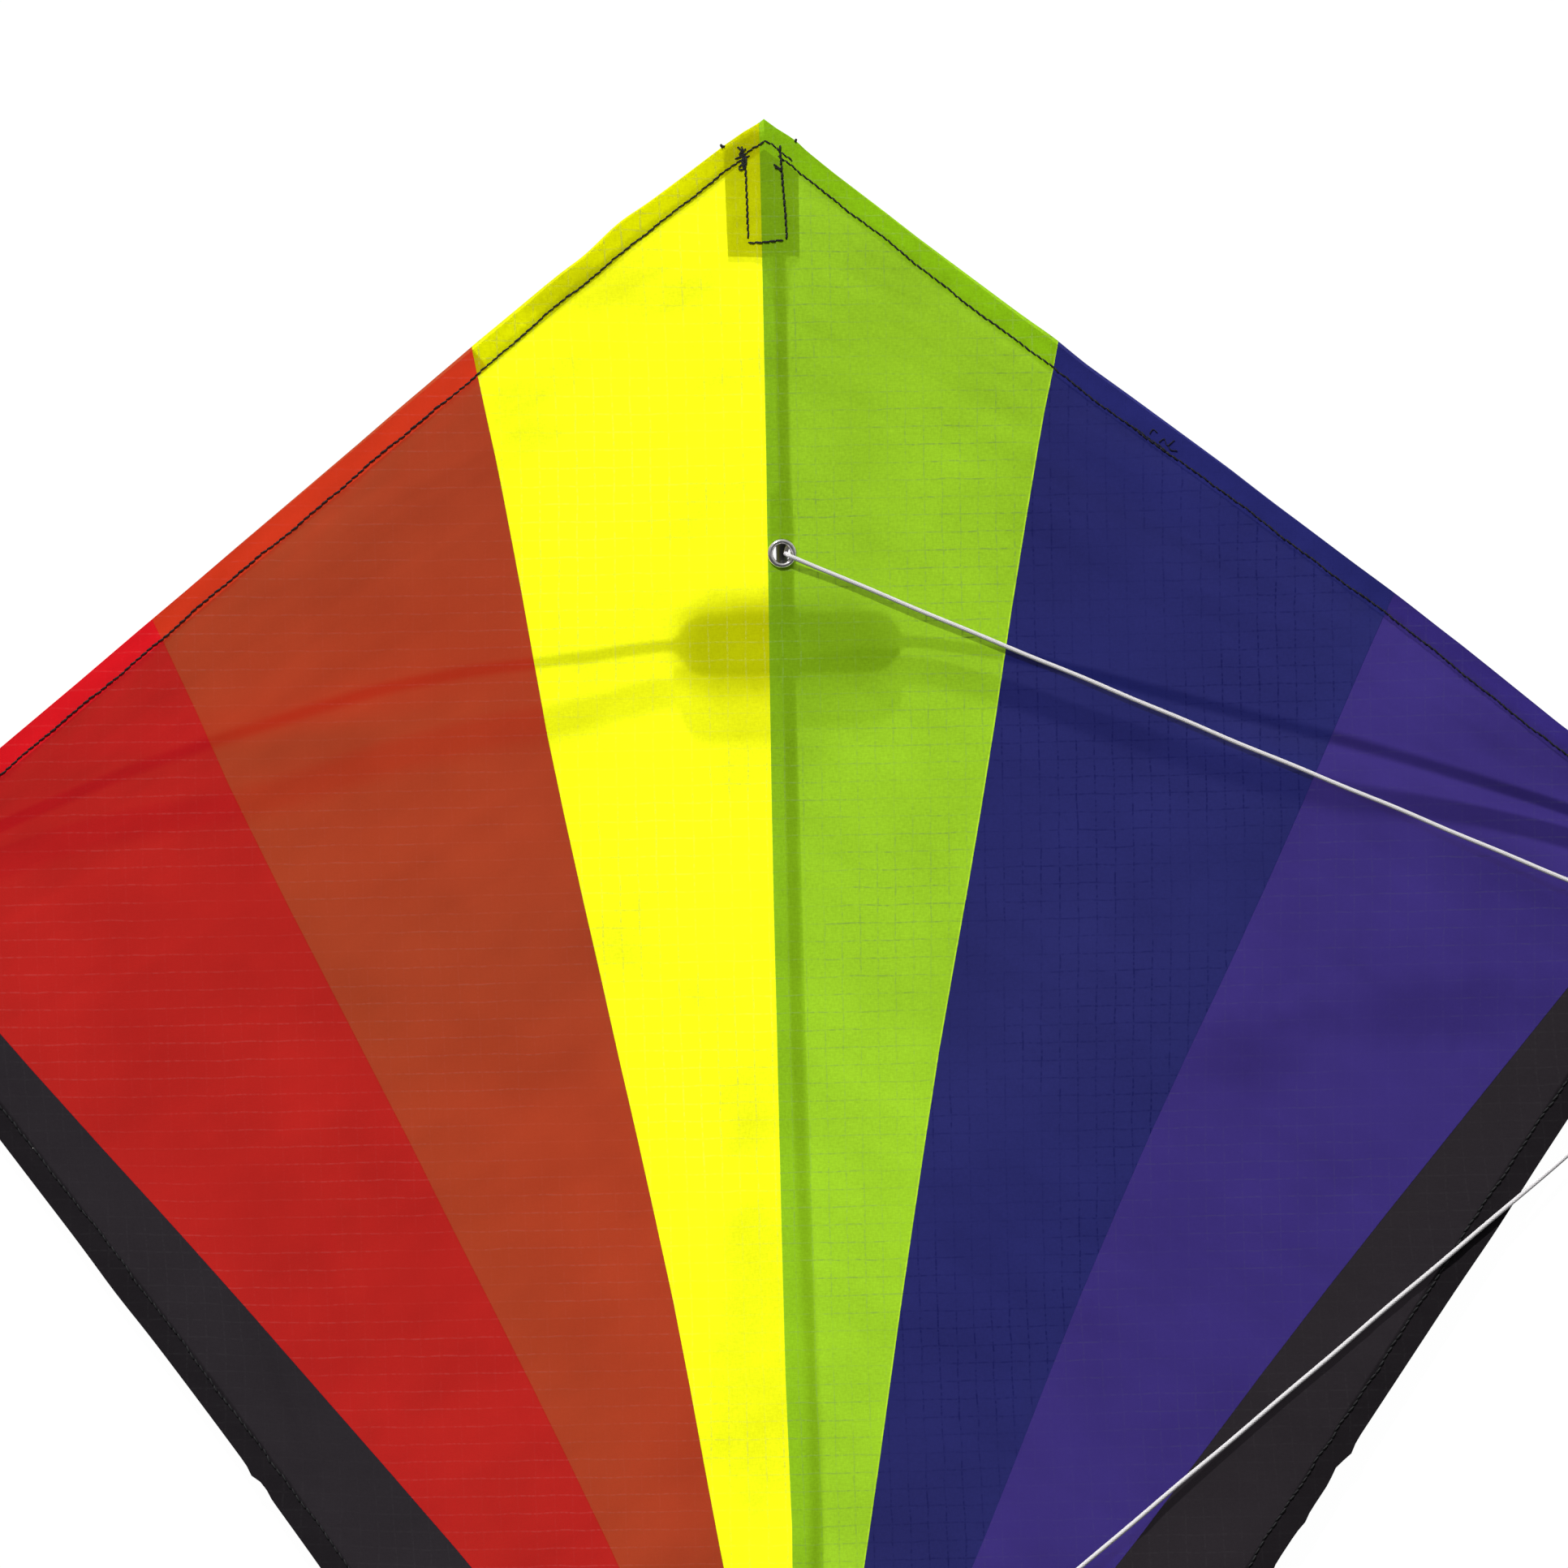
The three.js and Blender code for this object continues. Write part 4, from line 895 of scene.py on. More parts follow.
turns = []
for i in range(57):
    a = math.pi + 2 * math.pi * 2.35 * i / 56
    turns.append(knot_point(-1.75 + 3.5 * i / 56, a, 1.5))
knot_parts.append(tube_data(resample(np.array(turns), 0.00035), 0.00062, 10))
for s_ in (-1, 1):
    tails = [knot_point(s_ * 1.5, math.pi * 0.62, 1.6), knot_point(s_ * 1.45, math.pi * 0.86, 1.95), knot_point(s_ * 1.3, math.pi, 2.5), knot_point(s_ * 1.15, math.pi * 1.04, 3.4)]
    tails[-1][2] = 0.00135
    knot_parts.append(tube_data(spline(np.array(tails), 6), 0.00064, 10))
bar = [knot_point(-1.6, math.pi * 0.8, 2.0), knot_point(-0.8, math.pi * 0.92, 2.35), knot_point(0, math.pi * 0.95, 2.45), knot_point(0.8, math.pi * 0.92, 2.35), knot_point(1.6, math.pi * 0.8, 2.0)]
knot_parts.append(tube_data(spline(np.array(bar), 6), 0.00062, 10))
knot = tube_object("tow_knot_line", knot_parts, LINE)
kp = np.zeros(len(knot.data.vertices) * 3)
knot.data.vertices.foreach_get("co", kp)
kp = kp.reshape(-1, 3)
kp[:, 2] = np.maximum(kp[:, 2], 0.00008)
knot.data.vertices.foreach_set("co", kp.ravel())
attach(knot, "bridle")
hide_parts("bridle_tow_knot")
for which in ("upper", "lower"):
    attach(LEGS[which], "bridle")
    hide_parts("bridle_leg_" + which)
    path = LEG_PATHS[which]

# ---------------------------------------------------------------- the sail: six gores and two trims


def lead(x):
    return abs(x) * KL


def trail(x):
    return HEIGHT - abs(x) * KT


def seam_at(p, x):
    return CONV - abs(x) * (CONV - p[1]) / p[0]


def seam_low(p, x):
    return CONV + abs(x) * (CONV - p[1]) / p[0]


def lf(p):
    return (-p[0], p[1])


HOLES = [(SPINE_X, y, 3.45) for y in EYE_Y]
PANELS = {
    "panel_yellow": ("left", "yellow", [(F, lead(F)), lf(S1), (F, seam_at(S1, F))], 0.0),
    "panel_orange": ("left", "orange", [lf(S1), lf(S2), (F, seam_at(S2, F)), (F, seam_at(S1, F))], -0.03),
    "panel_red": ("left", "red", [lf(S2), lf(S3), (F, seam_at(S3, F)), (F, seam_at(S2, F))], -0.06),
    "trim_left": ("left", "black", [lf(S3), (-HALF_SPAN, TIP_DOWN), (F, trail(F)), (F, seam_at(S3, F))], -0.09),
    "panel_green": ("right", "green", [(F, lead(F)), (0, 0), S1, (0, CONV), (F, seam_low(S3, F))], 0.0),
    "panel_blue": ("right", "blue", [S1, S2, (0, CONV)], -0.03),
    "panel_purple": ("right", "purple", [S2, S3, (0, CONV)], -0.06),
    "trim_right": ("right", "black", [S3, (HALF_SPAN, TIP_DOWN), (0, HEIGHT), (F, trail(F)), (F, seam_low(S3, F))], -0.09),
}
GROW = 0.12       # each gore runs this far under the one before it


def grown(poly, which):
    """moves the edge shared with the gore before it outwards, so that no light shows between them"""
    p = [np.array(q, float) for q in poly]
    a, b = which
    i, j = a, b
    mid = sum(p) / len(p)
    e = p[j] - p[i]
    n_ = np.array([e[1], -e[0]]) / np.hypot(*e)
    if np.dot(n_, mid - p[i]) > 0:
        n_ = -n_
    p[i], p[j] = p[i] + n_ * GROW, p[j] + n_ * GROW
    return [tuple(q) for q in p]


SHARED = {"panel_orange": (0, 3), "panel_red": (0, 3), "trim_left": (0, 3), "panel_blue": (0, 2), "panel_purple": (0, 2), "trim_right": (0, 4)}
for name, (side, key, poly, n0) in PANELS.items():
    q = grown(poly, SHARED[name]) if name in SHARED else poly
    # stay inside the kite's own outline
    bm = flat_grid(q, 2.0, holes=HOLES if name == "panel_green" else ())
    ob = place(bm, name + "_cloth", MATS[key], n0)
    wing_blend(ob)
    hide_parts(name)

# ---------------------------------------------------------------- hems: the edge cloth folded to the back
HEM_COL = [("leading", "left", [("yellow", 0, S1[0]), ("orange", S1[0], S2[0]), ("red", S2[0], 325)]),
           ("leading", "right", [("green", 0, S1[0]), ("blue", S1[0], S2[0]), ("purple", S2[0], 325)]),
           ("trailing", "left", [("black", 0, 325)]), ("trailing", "right", [("black", 0, 325)])]
# section: distance in from the edge, height in front of the sail's mid-plane
HEM_SECTION = [(0.02, -0.01), (-0.10, -0.07), (-0.14, -0.16), (-0.10, -0.25), (0.04, -0.30), (0.6, -0.31), (2.0, -0.30), (3.6, -0.31), (5.2, -0.30),
               (6.6, -0.27), (7.4, -0.28), (7.9, -0.31), (8.02, -0.37), (7.9, -0.43), (7.2, -0.45), (6.0, -0.45), (4.8, -0.46)]
for kind, side, cols in HEM_COL:
    k = -1 if side == "left" else 1
    xs = np.arange(0.0, 325.01, 2.0)
    xs[-1] = 325.0
    if kind == "leading":
        tx, ty, nx, ny = 1 / NL, KL / NL, -KL / NL, 1 / NL       # along the edge outwards, and in from it, for x > 0
        ex, ey = xs, xs * KL
    else:
        tx, ty, nx, ny = 1 / NT, -KT / NT, -KT / NT, -1 / NT
        ex, ey = xs, HEIGHT - xs * KT
    V, Fc, UV, MI, edge_x = [], [], [], [], []
    for i in range(len(xs)):
        for d, h in HEM_SECTION:
            x, y = ex[i] + nx * d, ey[i] + ny * d
            # mitre at the nose or tail, and stop at the other edge near the tip
            back = 0.25
            if x < (0.0 if k > 0 else -F) + 0.02:
                slide = ((0.0 if k > 0 else -F) + 0.02 - x) / tx
                x, y = x + tx * slide, y + ty * slide
            other = (HEIGHT - x * KT - y) / NT if kind == "leading" else (y - x * KL) / NL
            if other < back:
                sl = (back - other) / abs((tx * KT + ty) / NT if kind == "leading" else (tx * KL - ty) / NL)
                x, y = x - tx * sl, y - ty * sl
            V.append((k * x, y, h - (0.52 * float(smooth(22, 12, 325.0 - xs[i])) if kind == "trailing" else 0.0)))
    m_ = len(HEM_SECTION)
    for i in range(len(xs) - 1):
        for j in range(m_ - 1):
            Fc.append((i * m_ + j, (i + 1) * m_ + j, (i + 1) * m_ + j + 1, i * m_ + j + 1))
            MI.append(next(c for c, (_, a, b) in enumerate(cols) if (xs[i] + xs[i + 1]) / 2 <= b))
    V = np.array(V)
    ob = finish_mesh(f"{kind}_hem_{side}_cloth", (surf(V[:, 0], V[:, 1], V[:, 2]), Fc), MATS[cols[0][0]])
    for c, _, _ in cols[1:]:
        ob.data.materials.append(MATS[c])
    ob.data.polygons.foreach_set("material_index", np.array(MI, np.int32))
    set_uv(ob.data, V[:, :2] / 100, "face")
    bm = bmesh.new()
    bm.from_mesh(ob.data)
    bmesh.ops.dissolve_degenerate(bm, dist=2e-6, edges=bm.edges[:])
    bm.to_mesh(ob.data)
    bm.free()
    wing_blend(ob)
    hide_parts(f"{kind}_hem_{side}")


# ---------------------------------------------------------------- stitching
def stitches(path, pitch, r=0.29, n_top=0.12, jitter=0.10, gap=0.02, lay=None):
    """single lockstitches along a path of face points (mm): each lies on the cloth and dives at both ends"""
    p = resample(np.asarray(path, float), 0.25)
    s = np.concatenate([[0], np.cumsum(np.hypot(*np.diff(p, axis=0).T))])
    parts = []
    at = 0.0
    put = lay or (lambda x, y, n: surf(x, y, n))
    while at < s[-1] - pitch * 0.6:
        l = pitch * random.uniform(0.9, 1.1)
        a, b = at + gap / 2, min(at + l - gap / 2, s[-1])
        u = np.linspace(0, 1, 6)
        q = a + (b - a) * u
        x, y = np.interp(q, s, p[:, 0]), np.interp(q, s, p[:, 1])
        dx, dy = x[-1] - x[0], y[-1] - y[0]
        dl = math.hypot(dx, dy) + 1e-9
        # each stitch leans a little across the line, as a machine's lockstitch does
        off = (u - 0.5) * 0.34 + random.uniform(-jitter, jitter) * 0.6
        x, y = x - dy / dl * off, y + dx / dl * off
        up = np.where((u > 0.05) & (u < 0.95), n_top + 0.06 * np.sin(np.pi * u), -0.12)
        rr = r * np.array([0.75, 0.98, 1.05, 1.05, 0.98, 0.75]) * random.uniform(0.9, 1.12)
        parts.append(tube_data(put(x, y, up), rr / 1000, 6))
        at += l
    return parts


def offset_lead(k, d, x0, x1, wob=0.22, seed=0):
    r = np.random.RandomState(seed)
    ph = r.uniform(0, 6.28, 4)
    xs = np.arange(x0, x1, 2.0)
    w = wob * (np.sin(xs * 0.11 + ph[0]) + 0.7 * np.sin(xs * 0.31 + ph[1]) + 0.4 * np.sin(xs * 0.83 + ph[2]))
    x = xs - KL / NL * (d + w)
    y = xs * KL + (d + w) / NL
    keep = k * x < 400
    return np.stack([k * x, y], -1)


def offset_trail(k, d, x0, x1, wob=0.28, seed=0):
    r = np.random.RandomState(seed)
    ph = r.uniform(0, 6.28, 4)
    xs = np.arange(x1, x0, -2.0)
    w = wob * (np.sin(xs * 0.09 + ph[0]) + 0.7 * np.sin(xs * 0.27 + ph[1]) + 0.5 * np.sin(xs * 0.71 + ph[2]))
    x = xs - KT / NT * (d + w)
    y = HEIGHT - xs * KT - (d + w) / NT
    return np.stack([k * x, y], -1)


STITCH = 2.55
sets = {"left": [], "right": []}
for side, k in (("left", -1), ("right", 1)):
    pth = offset_lead(k, 7.0, 9.0, 320.0, seed=3 + k)
    pth = pth[(pth[:, 0] * k > 1.0 if k > 0 else pth[:, 0] < F - 0.4)]
    if k < 0:   # small kink where two seams cross
        pass
    else:
        kink = np.exp(-((pth[:, 0] - 97) / 2.2) ** 2)
        pth[:, 1] += 1.1 * kink * np.sin((pth[:, 0] - 97) * 1.2)
    front = stitches(pth, STITCH)
    pb = offset_lead(k, 7.0, 9.0, 320.0, seed=3 + k)
    pb = pb[(pb[:, 0] * k > 2.0)]
    back = stitches(pb, STITCH, lay=lambda x, y, n: surf(x, y, -0.47 - n))
    tp = offset_trail(k, 7.2, 6.0, 318.0, seed=9 + k)
    tp = tp[np.abs(tp[:, 0] - F) > 5]
    ft = stitches(tp, STITCH * 1.05, jitter=0.2)
    bt = stitches(tp, STITCH * 1.05, lay=lambda x, y, n: surf(x, y, -0.47 - n))
    sets[side] = front + back + ft + bt
# back-tacked stretch on the right leading hem, with loose threads
bk = offset_lead(1, 6.7, 128.0, 141.0, wob=0.5, seed=21)
sets["right"] += stitches(bk, 2.2, r=0.22)
for q in ([(131.5, 111.5), (133.2, 110.4), (134.2, 112.6), (136.6, 111.0)], [(134.4, 112.4), (135.4, 114.2), (137.5, 114.6)], [(128.5, 108.4), (129.6, 107.0), (131.0, 108.2)]):
    c = spline(np.array(q), 6)
    sets["right"].append(tube_data(surf(c[:, 0], c[:, 1], 0.25), 0.00014, 6))
for side in ("left", "right"):
    ob = tube_object("hem_stitching_" + side, sets[side], THREAD)
    wing_blend(ob)

# nose: the hem line rises to a point, and a U of stitches holds the pocket
nose = []
peak = [(-9.0, 14.2), (-6.0, 12.2), (-3.4, 9.7), (-1.2, 8.4), (-0.1, 7.4), (1.2, 7.8), (3.2, 9.0), (5.2, 11.2), (7.0, 13.0), (9.4, 14.9)]
nose += stitches(spline(np.array(peak), 6), 2.3, r=0.28, gap=0.0, jitter=0.05)
ustitch = [(-5.9, 13.2), (-5.9, 18.6), (-5.8, 26.6), (-5.8, 34.6), (-5.7, 41.7)]
nose += stitches(spline(np.array(ustitch), 6), 2.3, r=0.36, gap=0.0, jitter=0.05)
nose += stitches(np.array([(-5.8, 41.8), (-1.5, 41.5), (2.5, 41.1), (6.9, 40.8)]), 2.3, r=0.34, gap=0.0, jitter=0.04)
nose += stitches(spline(np.array([(6.9, 40.8), (6.6, 33.0), (6.1, 26.0), (5.5, 16.0), (5.1, 8.6)]), 6), 2.3, r=0.36, gap=0.0, jitter=0.05)
# thread tangle at the top of the left leg of the U, a tick on the right one, and two trimmed ends at the edge
for q in ([(-7.6, 9.4), (-6.4, 10.6), (-7.0, 12.0), (-5.7, 13.2), (-6.2, 15.0), (-5.6, 16.8)],
          [(-6.3, 9.2), (-5.9, 10.8), (-6.8, 11.8), (-5.3, 12.6), (-5.0, 14.4), (-5.8, 15.6)],
          [(-5.1, 9.8), (-6.0, 11.2), (-5.2, 12.9), (-6.5, 13.8), (-5.4, 15.2)],
          [(-7.4, 16.2), (-6.2, 15.2), (-5.4, 16.0), (-6.6, 17.0), (-7.4, 16.6)],
          [(4.6, 14.8), (5.6, 15.6), (6.8, 16.6)], [(4.9, 15.8), (5.9, 16.2), (6.9, 17.2)]):
    c = spline(np.array(q) + np.array([-0.6 if q[0][0] < 0 else -1.5, 0.6]), 7)
    nose.append(tube_data(surf(c[:, 0], c[:, 1], 0.22 + 0.12 * np.sin(np.linspace(0, 9, len(c)))), 0.0003, 6))
for x, y, dx, dy in ((-12.7, 10.3, -0.9, -0.95), (-12.3, 10.1, -1.3, -0.35), (-12.9, 10.5, -0.5, -0.9), (10.2, 8.4, 0.3, -1.0)):
    c = np.array([(x + dx * t, y + dy * t) for t in np.linspace(0, 1.0, 6)])
    nose.append(tube_data(surf(c[:, 0], c[:, 1], 0.1), 0.00042, 6))
nose_st = tube_object("nose_stitching", nose, THREAD)
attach(nose_st, "spine")

# ---------------------------------------------------------------- centre seam: tape behind, eyelet patches, eyelets
TAPE_EDGE = [(44, 5.2), (52, 5.4), (113, 5.6), (150, 6.9), (200, 7.4), (233, 7.9), (261, 8.1), (316, 8.6), (370, 9.2), (425, 9.2), (475, 9.8), (560, 9.0), (612, 7.0)]
ty_ = np.arange(44.0, 611.1, 2.0)
te = np.interp(ty_, [a for a, _ in TAPE_EDGE], [b for _, b in TAPE_EDGE])
cols_ = np.linspace(0, 1, 7)
V, Fc = [], []
for y, e in zip(ty_, te):
    e = min(e, (CONV - y) * 0.158 + 0.6)
    for c in cols_:
        V.append((F + 0.05 + (e - F - 0.05) * c, y, -0.34 - 0.1 * math.sin(math.pi * c) ** 2))
bm = bmesh.new()
vv = [bm.verts.new(v) for v in V]
w7 = len(cols_)
for i in range(len(ty_) - 1):
    for j in range(w7 - 1):
        bm.faces.new((vv[i * w7 + j], vv[i * w7 + j + 1], vv[(i + 1) * w7 + j + 1], vv[(i + 1) * w7 + j]))
for hx, hy, hr in HOLES:
    dead = [f for f in bm.faces if math.hypot(f.calc_center_median().x - hx, f.calc_center_median().y - hy) < hr]
    bmesh.ops.delete(bm, geom=dead, context="FACES")
    for v in bm.verts:
        d = math.hypot(v.co.x - hx, v.co.y - hy)
        if v.is_boundary and d < hr + 1.2 and v.co.x < hx + 5 and v.co.x > F + 0.5:
            v.co.x, v.co.y = hx + (v.co.x - hx) * (hr + 0.1) / d, hy + (v.co.y - hy) * (hr + 0.1) / d
tape = place(bm, "centre_seam_tape", TAPE, None)
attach(tape, "spine")
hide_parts("spine_seam_tape")


def stadium_grid(cx_, y0, y1, r):
    bm = flat_grid([(cx_ - r, y0), (cx_ + r, y0), (cx_ + r, y1), (cx_ - r, y1)], 0.8, holes=())
    for v in bm.verts:
        for yc, s_ in ((y0 + r, -1), (y1 - r, 1)):
            if (v.co.y - yc) * s_ > 0:
                # square end to round end
                a, b = (v.co.x - cx_) / r, (v.co.y - yc) / r
                v.co.x, v.co.y = cx_ + r * a * math.sqrt(max(0.0, 1 - b * b / 2)), yc + r * b * math.sqrt(max(0.0, 1 - a * a / 2))
    return bm


for nm, y0, y1, ey in (("upper", 124, 181.6, EYE_Y[0]), ("lower", 530, 581, EYE_Y[1])):
    bm = stadium_grid(SPINE_X + 0.1, y0, y1, 4.0)
    dead = [f for f in bm.faces if math.hypot(f.calc_center_median().x - SPINE_X, f.calc_center_median().y - ey) < 3.4]
    bmesh.ops.delete(bm, geom=dead, context="FACES")
    ob = place(bm, "eyelet_reinforcement_" + nm, PATCH, -0.62)
    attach(ob, "spine")
    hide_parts("eyelet_patch_" + nm)
    st = []
    for xx in (SPINE_X - 2.9, SPINE_X + 3.1):
        st += stitches(np.array([(xx, y0 + 3.5), (xx, ey - 6)]), 2.6, r=0.11, lay=lambda x, y, n: surf(x, y, -0.63 - n))
        st += stitches(np.array([(xx, ey + 6), (xx, y1 - 3.5)]), 2.6, r=0.11, lay=lambda x, y, n: surf(x, y, -0.63 - n))
    so = tube_object("eyelet_patch_stitching_" + nm, st, MATS["green"])
    set_uv(so.data, np.zeros((len(so.data.vertices), 2)), "face")
    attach(so, "spine")

wing_n = np.array(row(SD, 0, CD) - row(0, 0, 0))
wing_n /= np.linalg.norm(wing_n)
eye_prof = [(3.12, -2.3), (3.08, -1.0), (3.1, 0.1), (3.2, 0.55), (3.38, 0.9), (3.62, 1.12), (3.92, 1.24), (4.22, 1.22), (4.5, 1.1), (4.74, 0.9),
            (4.92, 0.66), (4.98, 0.46), (4.92, 0.36), (4.8, 0.34), (4.4, 0.42), (3.4, 0.5), (3.4, -1.75), (4.3, -1.78), (4.58, -1.86), (4.66, -2.0), (4.6, -2.15), (4.35, -2.26), (3.7, -2.34), (3.3, -2.36)]
for nm, ey in (("upper", EYE_Y[0]), ("lower", EYE_Y[1])):
    at = row(SPINE_X, -ey, -(SPINE_X - F) * TD)
    ob = lathe("eyelet_" + nm + "_nickel", eye_prof, at, wing_n, NICKEL, 72, xdir=(1, 0, 0))
    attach(ob, "spine")
    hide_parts("eyelet_" + nm)

# ---------------------------------------------------------------- spine rod, its caps, bridle loops behind the eyelets
ydir = Vector(kdir(0, 1, 0))
r0, r1 = row(SPINE_X, -(9.5 + 1.8), SPINE_Z), row(SPINE_X, -(711 - 1.8), SPINE_Z)
rl = (Vector(r0) - Vector(r1)).length * 1000
rod = lathe("spine_rod_glass_fibre", [(0, 0), (1.7, 0), (1.95, 0.2), (2.0, 0.5)] + [(2.0, rl * i / 24) for i in range(1, 24)] + [(2.0, rl - 0.5), (1.95, rl - 0.2), (1.7, rl), (0, rl)],
            r1, ydir, ROD, 40, closed=False)
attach(rod, "spine")
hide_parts("spine_rod")
CAP = [(0, -0.02), (1.2, 0.02), (2.0, 0.2), (2.55, 0.6), (2.82, 1.15), (2.9, 1.9), (2.9, 4.0), (2.9, 8.0)]


def cap(name, node, at, axis, ln, body):
    inner = [(2.9, ln - 0.5), (2.82, ln - 0.15), (2.62, ln), (2.42, ln - 0.12), (2.33, ln - 0.5), (2.3, 8.0), (2.3, 1.5), (0, 1.5)]
    ob = lathe(name, CAP + inner, at, axis, VINYL, 40, closed=False)
    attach(ob, body)
    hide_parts(node)
    return ob


cap("nose_end_cap", "spine_cap_nose", row(SPINE_X, -9.5, SPINE_Z), -ydir, 14, "spine")
cap("tail_end_cap", "spine_cap_tail", row(SPINE_X, -711, SPINE_Z), ydir, 14, "spine")

for nm, ey, dy in (("upper", EYE_Y[0], -8.5), ("lower", EYE_Y[1], 8.5)):
    yc = -(ey + dy)
    w = []
    for i in range(73):
        a = 2 * math.pi * 2.4 * i / 72 + 0.6
        w.append((SPINE_X + 2.72 * math.cos(a), yc - 1.0 + 2.0 * i / 72, SPINE_Z + 2.72 * math.sin(a)))
    w = np.array(w)
    parts = [tube_data(resample(row(w[:, 0], w[:, 1], w[:, 2]), 0.0005), 0.00055, 10)]
    s_ = 1 if dy < 0 else -1
    lead_in = [(SPINE_X + 2.7, yc, SPINE_Z + 0.3), (SPINE_X + 2.75, yc - s_ * 2.6, SPINE_Z + 0.8), (SPINE_X + 2.3, -ey + s_ * 3.2, SPINE_Z + 1.6), (SPINE_X + 1.45, -ey + s_ * 0.8, SPINE_Z + 2.6), (4.6, -ey, -2.9)]
    li = spline(np.array(lead_in), 6)
    parts.append(tube_data(row(li[:, 0], li[:, 1], li[:, 2]), 0.00072, 10))
    tail_ = [(SPINE_X - 0.6, yc + s_ * 0.6, SPINE_Z - 2.7), (SPINE_X + 1.5, yc + s_ * 2.2, SPINE_Z - 3.0), (SPINE_X + 2.6, yc + s_ * 4.4, SPINE_Z - 2.4)]
    tl_ = spline(np.array(tail_), 6)
    parts.append(tube_data(row(tl_[:, 0], tl_[:, 1], tl_[:, 2]), 0.00055, 10))
    ob = tube_object("bridle_loop_line_" + nm, parts, LINE)
    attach(ob, "spine")
    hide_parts("bridle_loop_" + nm)


# ---------------------------------------------------------------- pockets: cloth channels over the rod ends
def hat(half, rad, depth, base, over=1.15):
    """cross-section: across, height. Flat flanges, and a round channel of that radius centred depth below zero"""
    pts = [(-half, base), (-half * 0.72, base), (-rad - over - 1.6, base), (-rad - over, base - 0.12), (-rad - 0.5, base - 0.75)]
    lo = -depth
    a0 = math.radians(14)
    pts += [(-rad * math.cos(a) if True else 0, lo - rad * math.sin(a)) for a in np.linspace(-a0, math.pi / 2, 9)[0:]]
    pts = [p for p in pts]
    right = [(-x, z) for x, z in reversed(pts[:-1])]
    return pts + right


def clip_outline(bm, d=0.7, sides=(-1, 1)):
    for k in sides:
        for kx, ky, c in ((-KL * k, 1.0, 0.0), (-KT * k, -1.0, HEIGHT)):
            l = math.hypot(kx, ky)
            # inside where kx*x + ky*y + c >= d
            nrm = (kx / l, ky / l, 0)
            co = (0, 0, 0) if c == 0.0 else (0, HEIGHT, 0)
            co = (co[0] + nrm[0] * d, co[1] + nrm[1] * d, 0)
            bmesh.ops.bisect_plane(bm, geom=bm.verts[:] + bm.edges[:] + bm.faces[:], dist=1e-4, plane_co=co, plane_no=nrm, clear_inner=True)


def sweep_grid(sections):
    """sections: list of lists of (x, y, n) face points, all the same length"""
    bm = bmesh.new()
    rows_ = [[bm.verts.new(p) for p in s] for s in sections]
    for a, b in zip(rows_, rows_[1:]):
        for i in range(len(a) - 1):
            bm.faces.new((a[i], a[i + 1], b[i + 1], b[i]))
    return bm


def kite_place(bm, name, mat, follow):
    """like place, but n is measured from the flat kite plane z = 0 (follow 0) or from the sail (follow 1)"""
    me = bpy.data.meshes.new(name)
    bm.to_mesh(me)
    bm.free()
    co = np.zeros(len(me.vertices) * 3)
    me.vertices.foreach_get("co", co)
    co = co.reshape(-1, 3)
    set_uv(me, co[:, :2] / 100, "face")
    wing = surf(co[:, 0], co[:, 1], co[:, 2])
    flat = row(co[:, 0], -co[:, 1], co[:, 2])
    f = follow(co[:, 0], co[:, 1], co[:, 2])[:, None]
    me.vertices.foreach_set("co", (wing * f + flat * (1 - f)).astype(np.float32).ravel())
    me.polygons.foreach_set("use_smooth", np.ones(len(me.polygons), bool))
    me.materials.append(mat)
    ob = bpy.data.objects.new(name, me)
    scene.collection.objects.link(ob)
    me.update()
    return ob


# nose pocket, yellow
secs = []
for y in np.concatenate([np.arange(4.0, 12.0, 0.8), np.arange(12.0, 46.6, 1.5), [46.5]]):
    g = float(smooth(5.0, 9.0, y))
    left = [(-12.8, y, -0.75), (-10, y, -0.75), (-7, y, -0.76), (-4.5, y, -0.8), (-2.6, y, -0.95), (-1.3, y, -1.6 * g - 0.9 * (1 - g))]
    arc = []
    for a in np.linspace(math.radians(158), math.radians(382), 17):
        ax, az = SPINE_X + 3.45 * math.cos(a), SPINE_Z + 3.45 * math.sin(a)
        arc.append((ax, y, az * g + (-1.0 - (3.45 - abs(ax - SPINE_X)) * 0.25) * (1 - g)))
    right = [(8.0, y, -2.2 * g - 1.4 * (1 - g)), (9.2, y, -1.5), (10.2, y, -1.0), (11.1, y, -0.8)]
    secs.append(left + arc + right)
bm = sweep_grid(secs)
clip_outline(bm, 0.7)


def nose_follow(x, y, n):
    return 1 - smooth(5.2, 3.6, np.abs(x - SPINE_X))


npk = kite_place(bm, "nose_pocket_cloth", POCKET, nose_follow)
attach(npk, "spine")
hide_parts("nose_pocket")

# tail pocket, black, over the tail cap
secs = []
for y in np.concatenate([np.arange(671.0, 706.0, 1.6), np.arange(706.0, 717.0, 0.9)]):
    g = float(smooth(716.5, 712.0, y))
    left = [(-5.6, y, -1.0), (-4.2, y, -1.05), (-2.8, y, -1.2), (-1.6, y, -1.7 * g - 1.2 * (1 - g))]
    arc = []
    for a in np.linspace(math.radians(158), math.radians(382), 17):
        ax, az = SPINE_X + 3.4 * math.cos(a), SPINE_Z + 3.4 * math.sin(a)
        arc.append((ax, y, az * g + (-3.2 - (3.4 - abs(ax - SPINE_X)) * 0.9) * (1 - g)))
    right = [(7.9, y, -2.4 * g - 1.6 * (1 - g)), (9.0, y, -1.6), (10.0, y, -1.2), (11.2, y, -1.0)]
    secs.append(left + arc + right)
bm = sweep_grid(secs)
clip_outline(bm, 0.7)
tpk = kite_place(bm, "tail_pocket_cloth", MATS["black"], nose_follow)
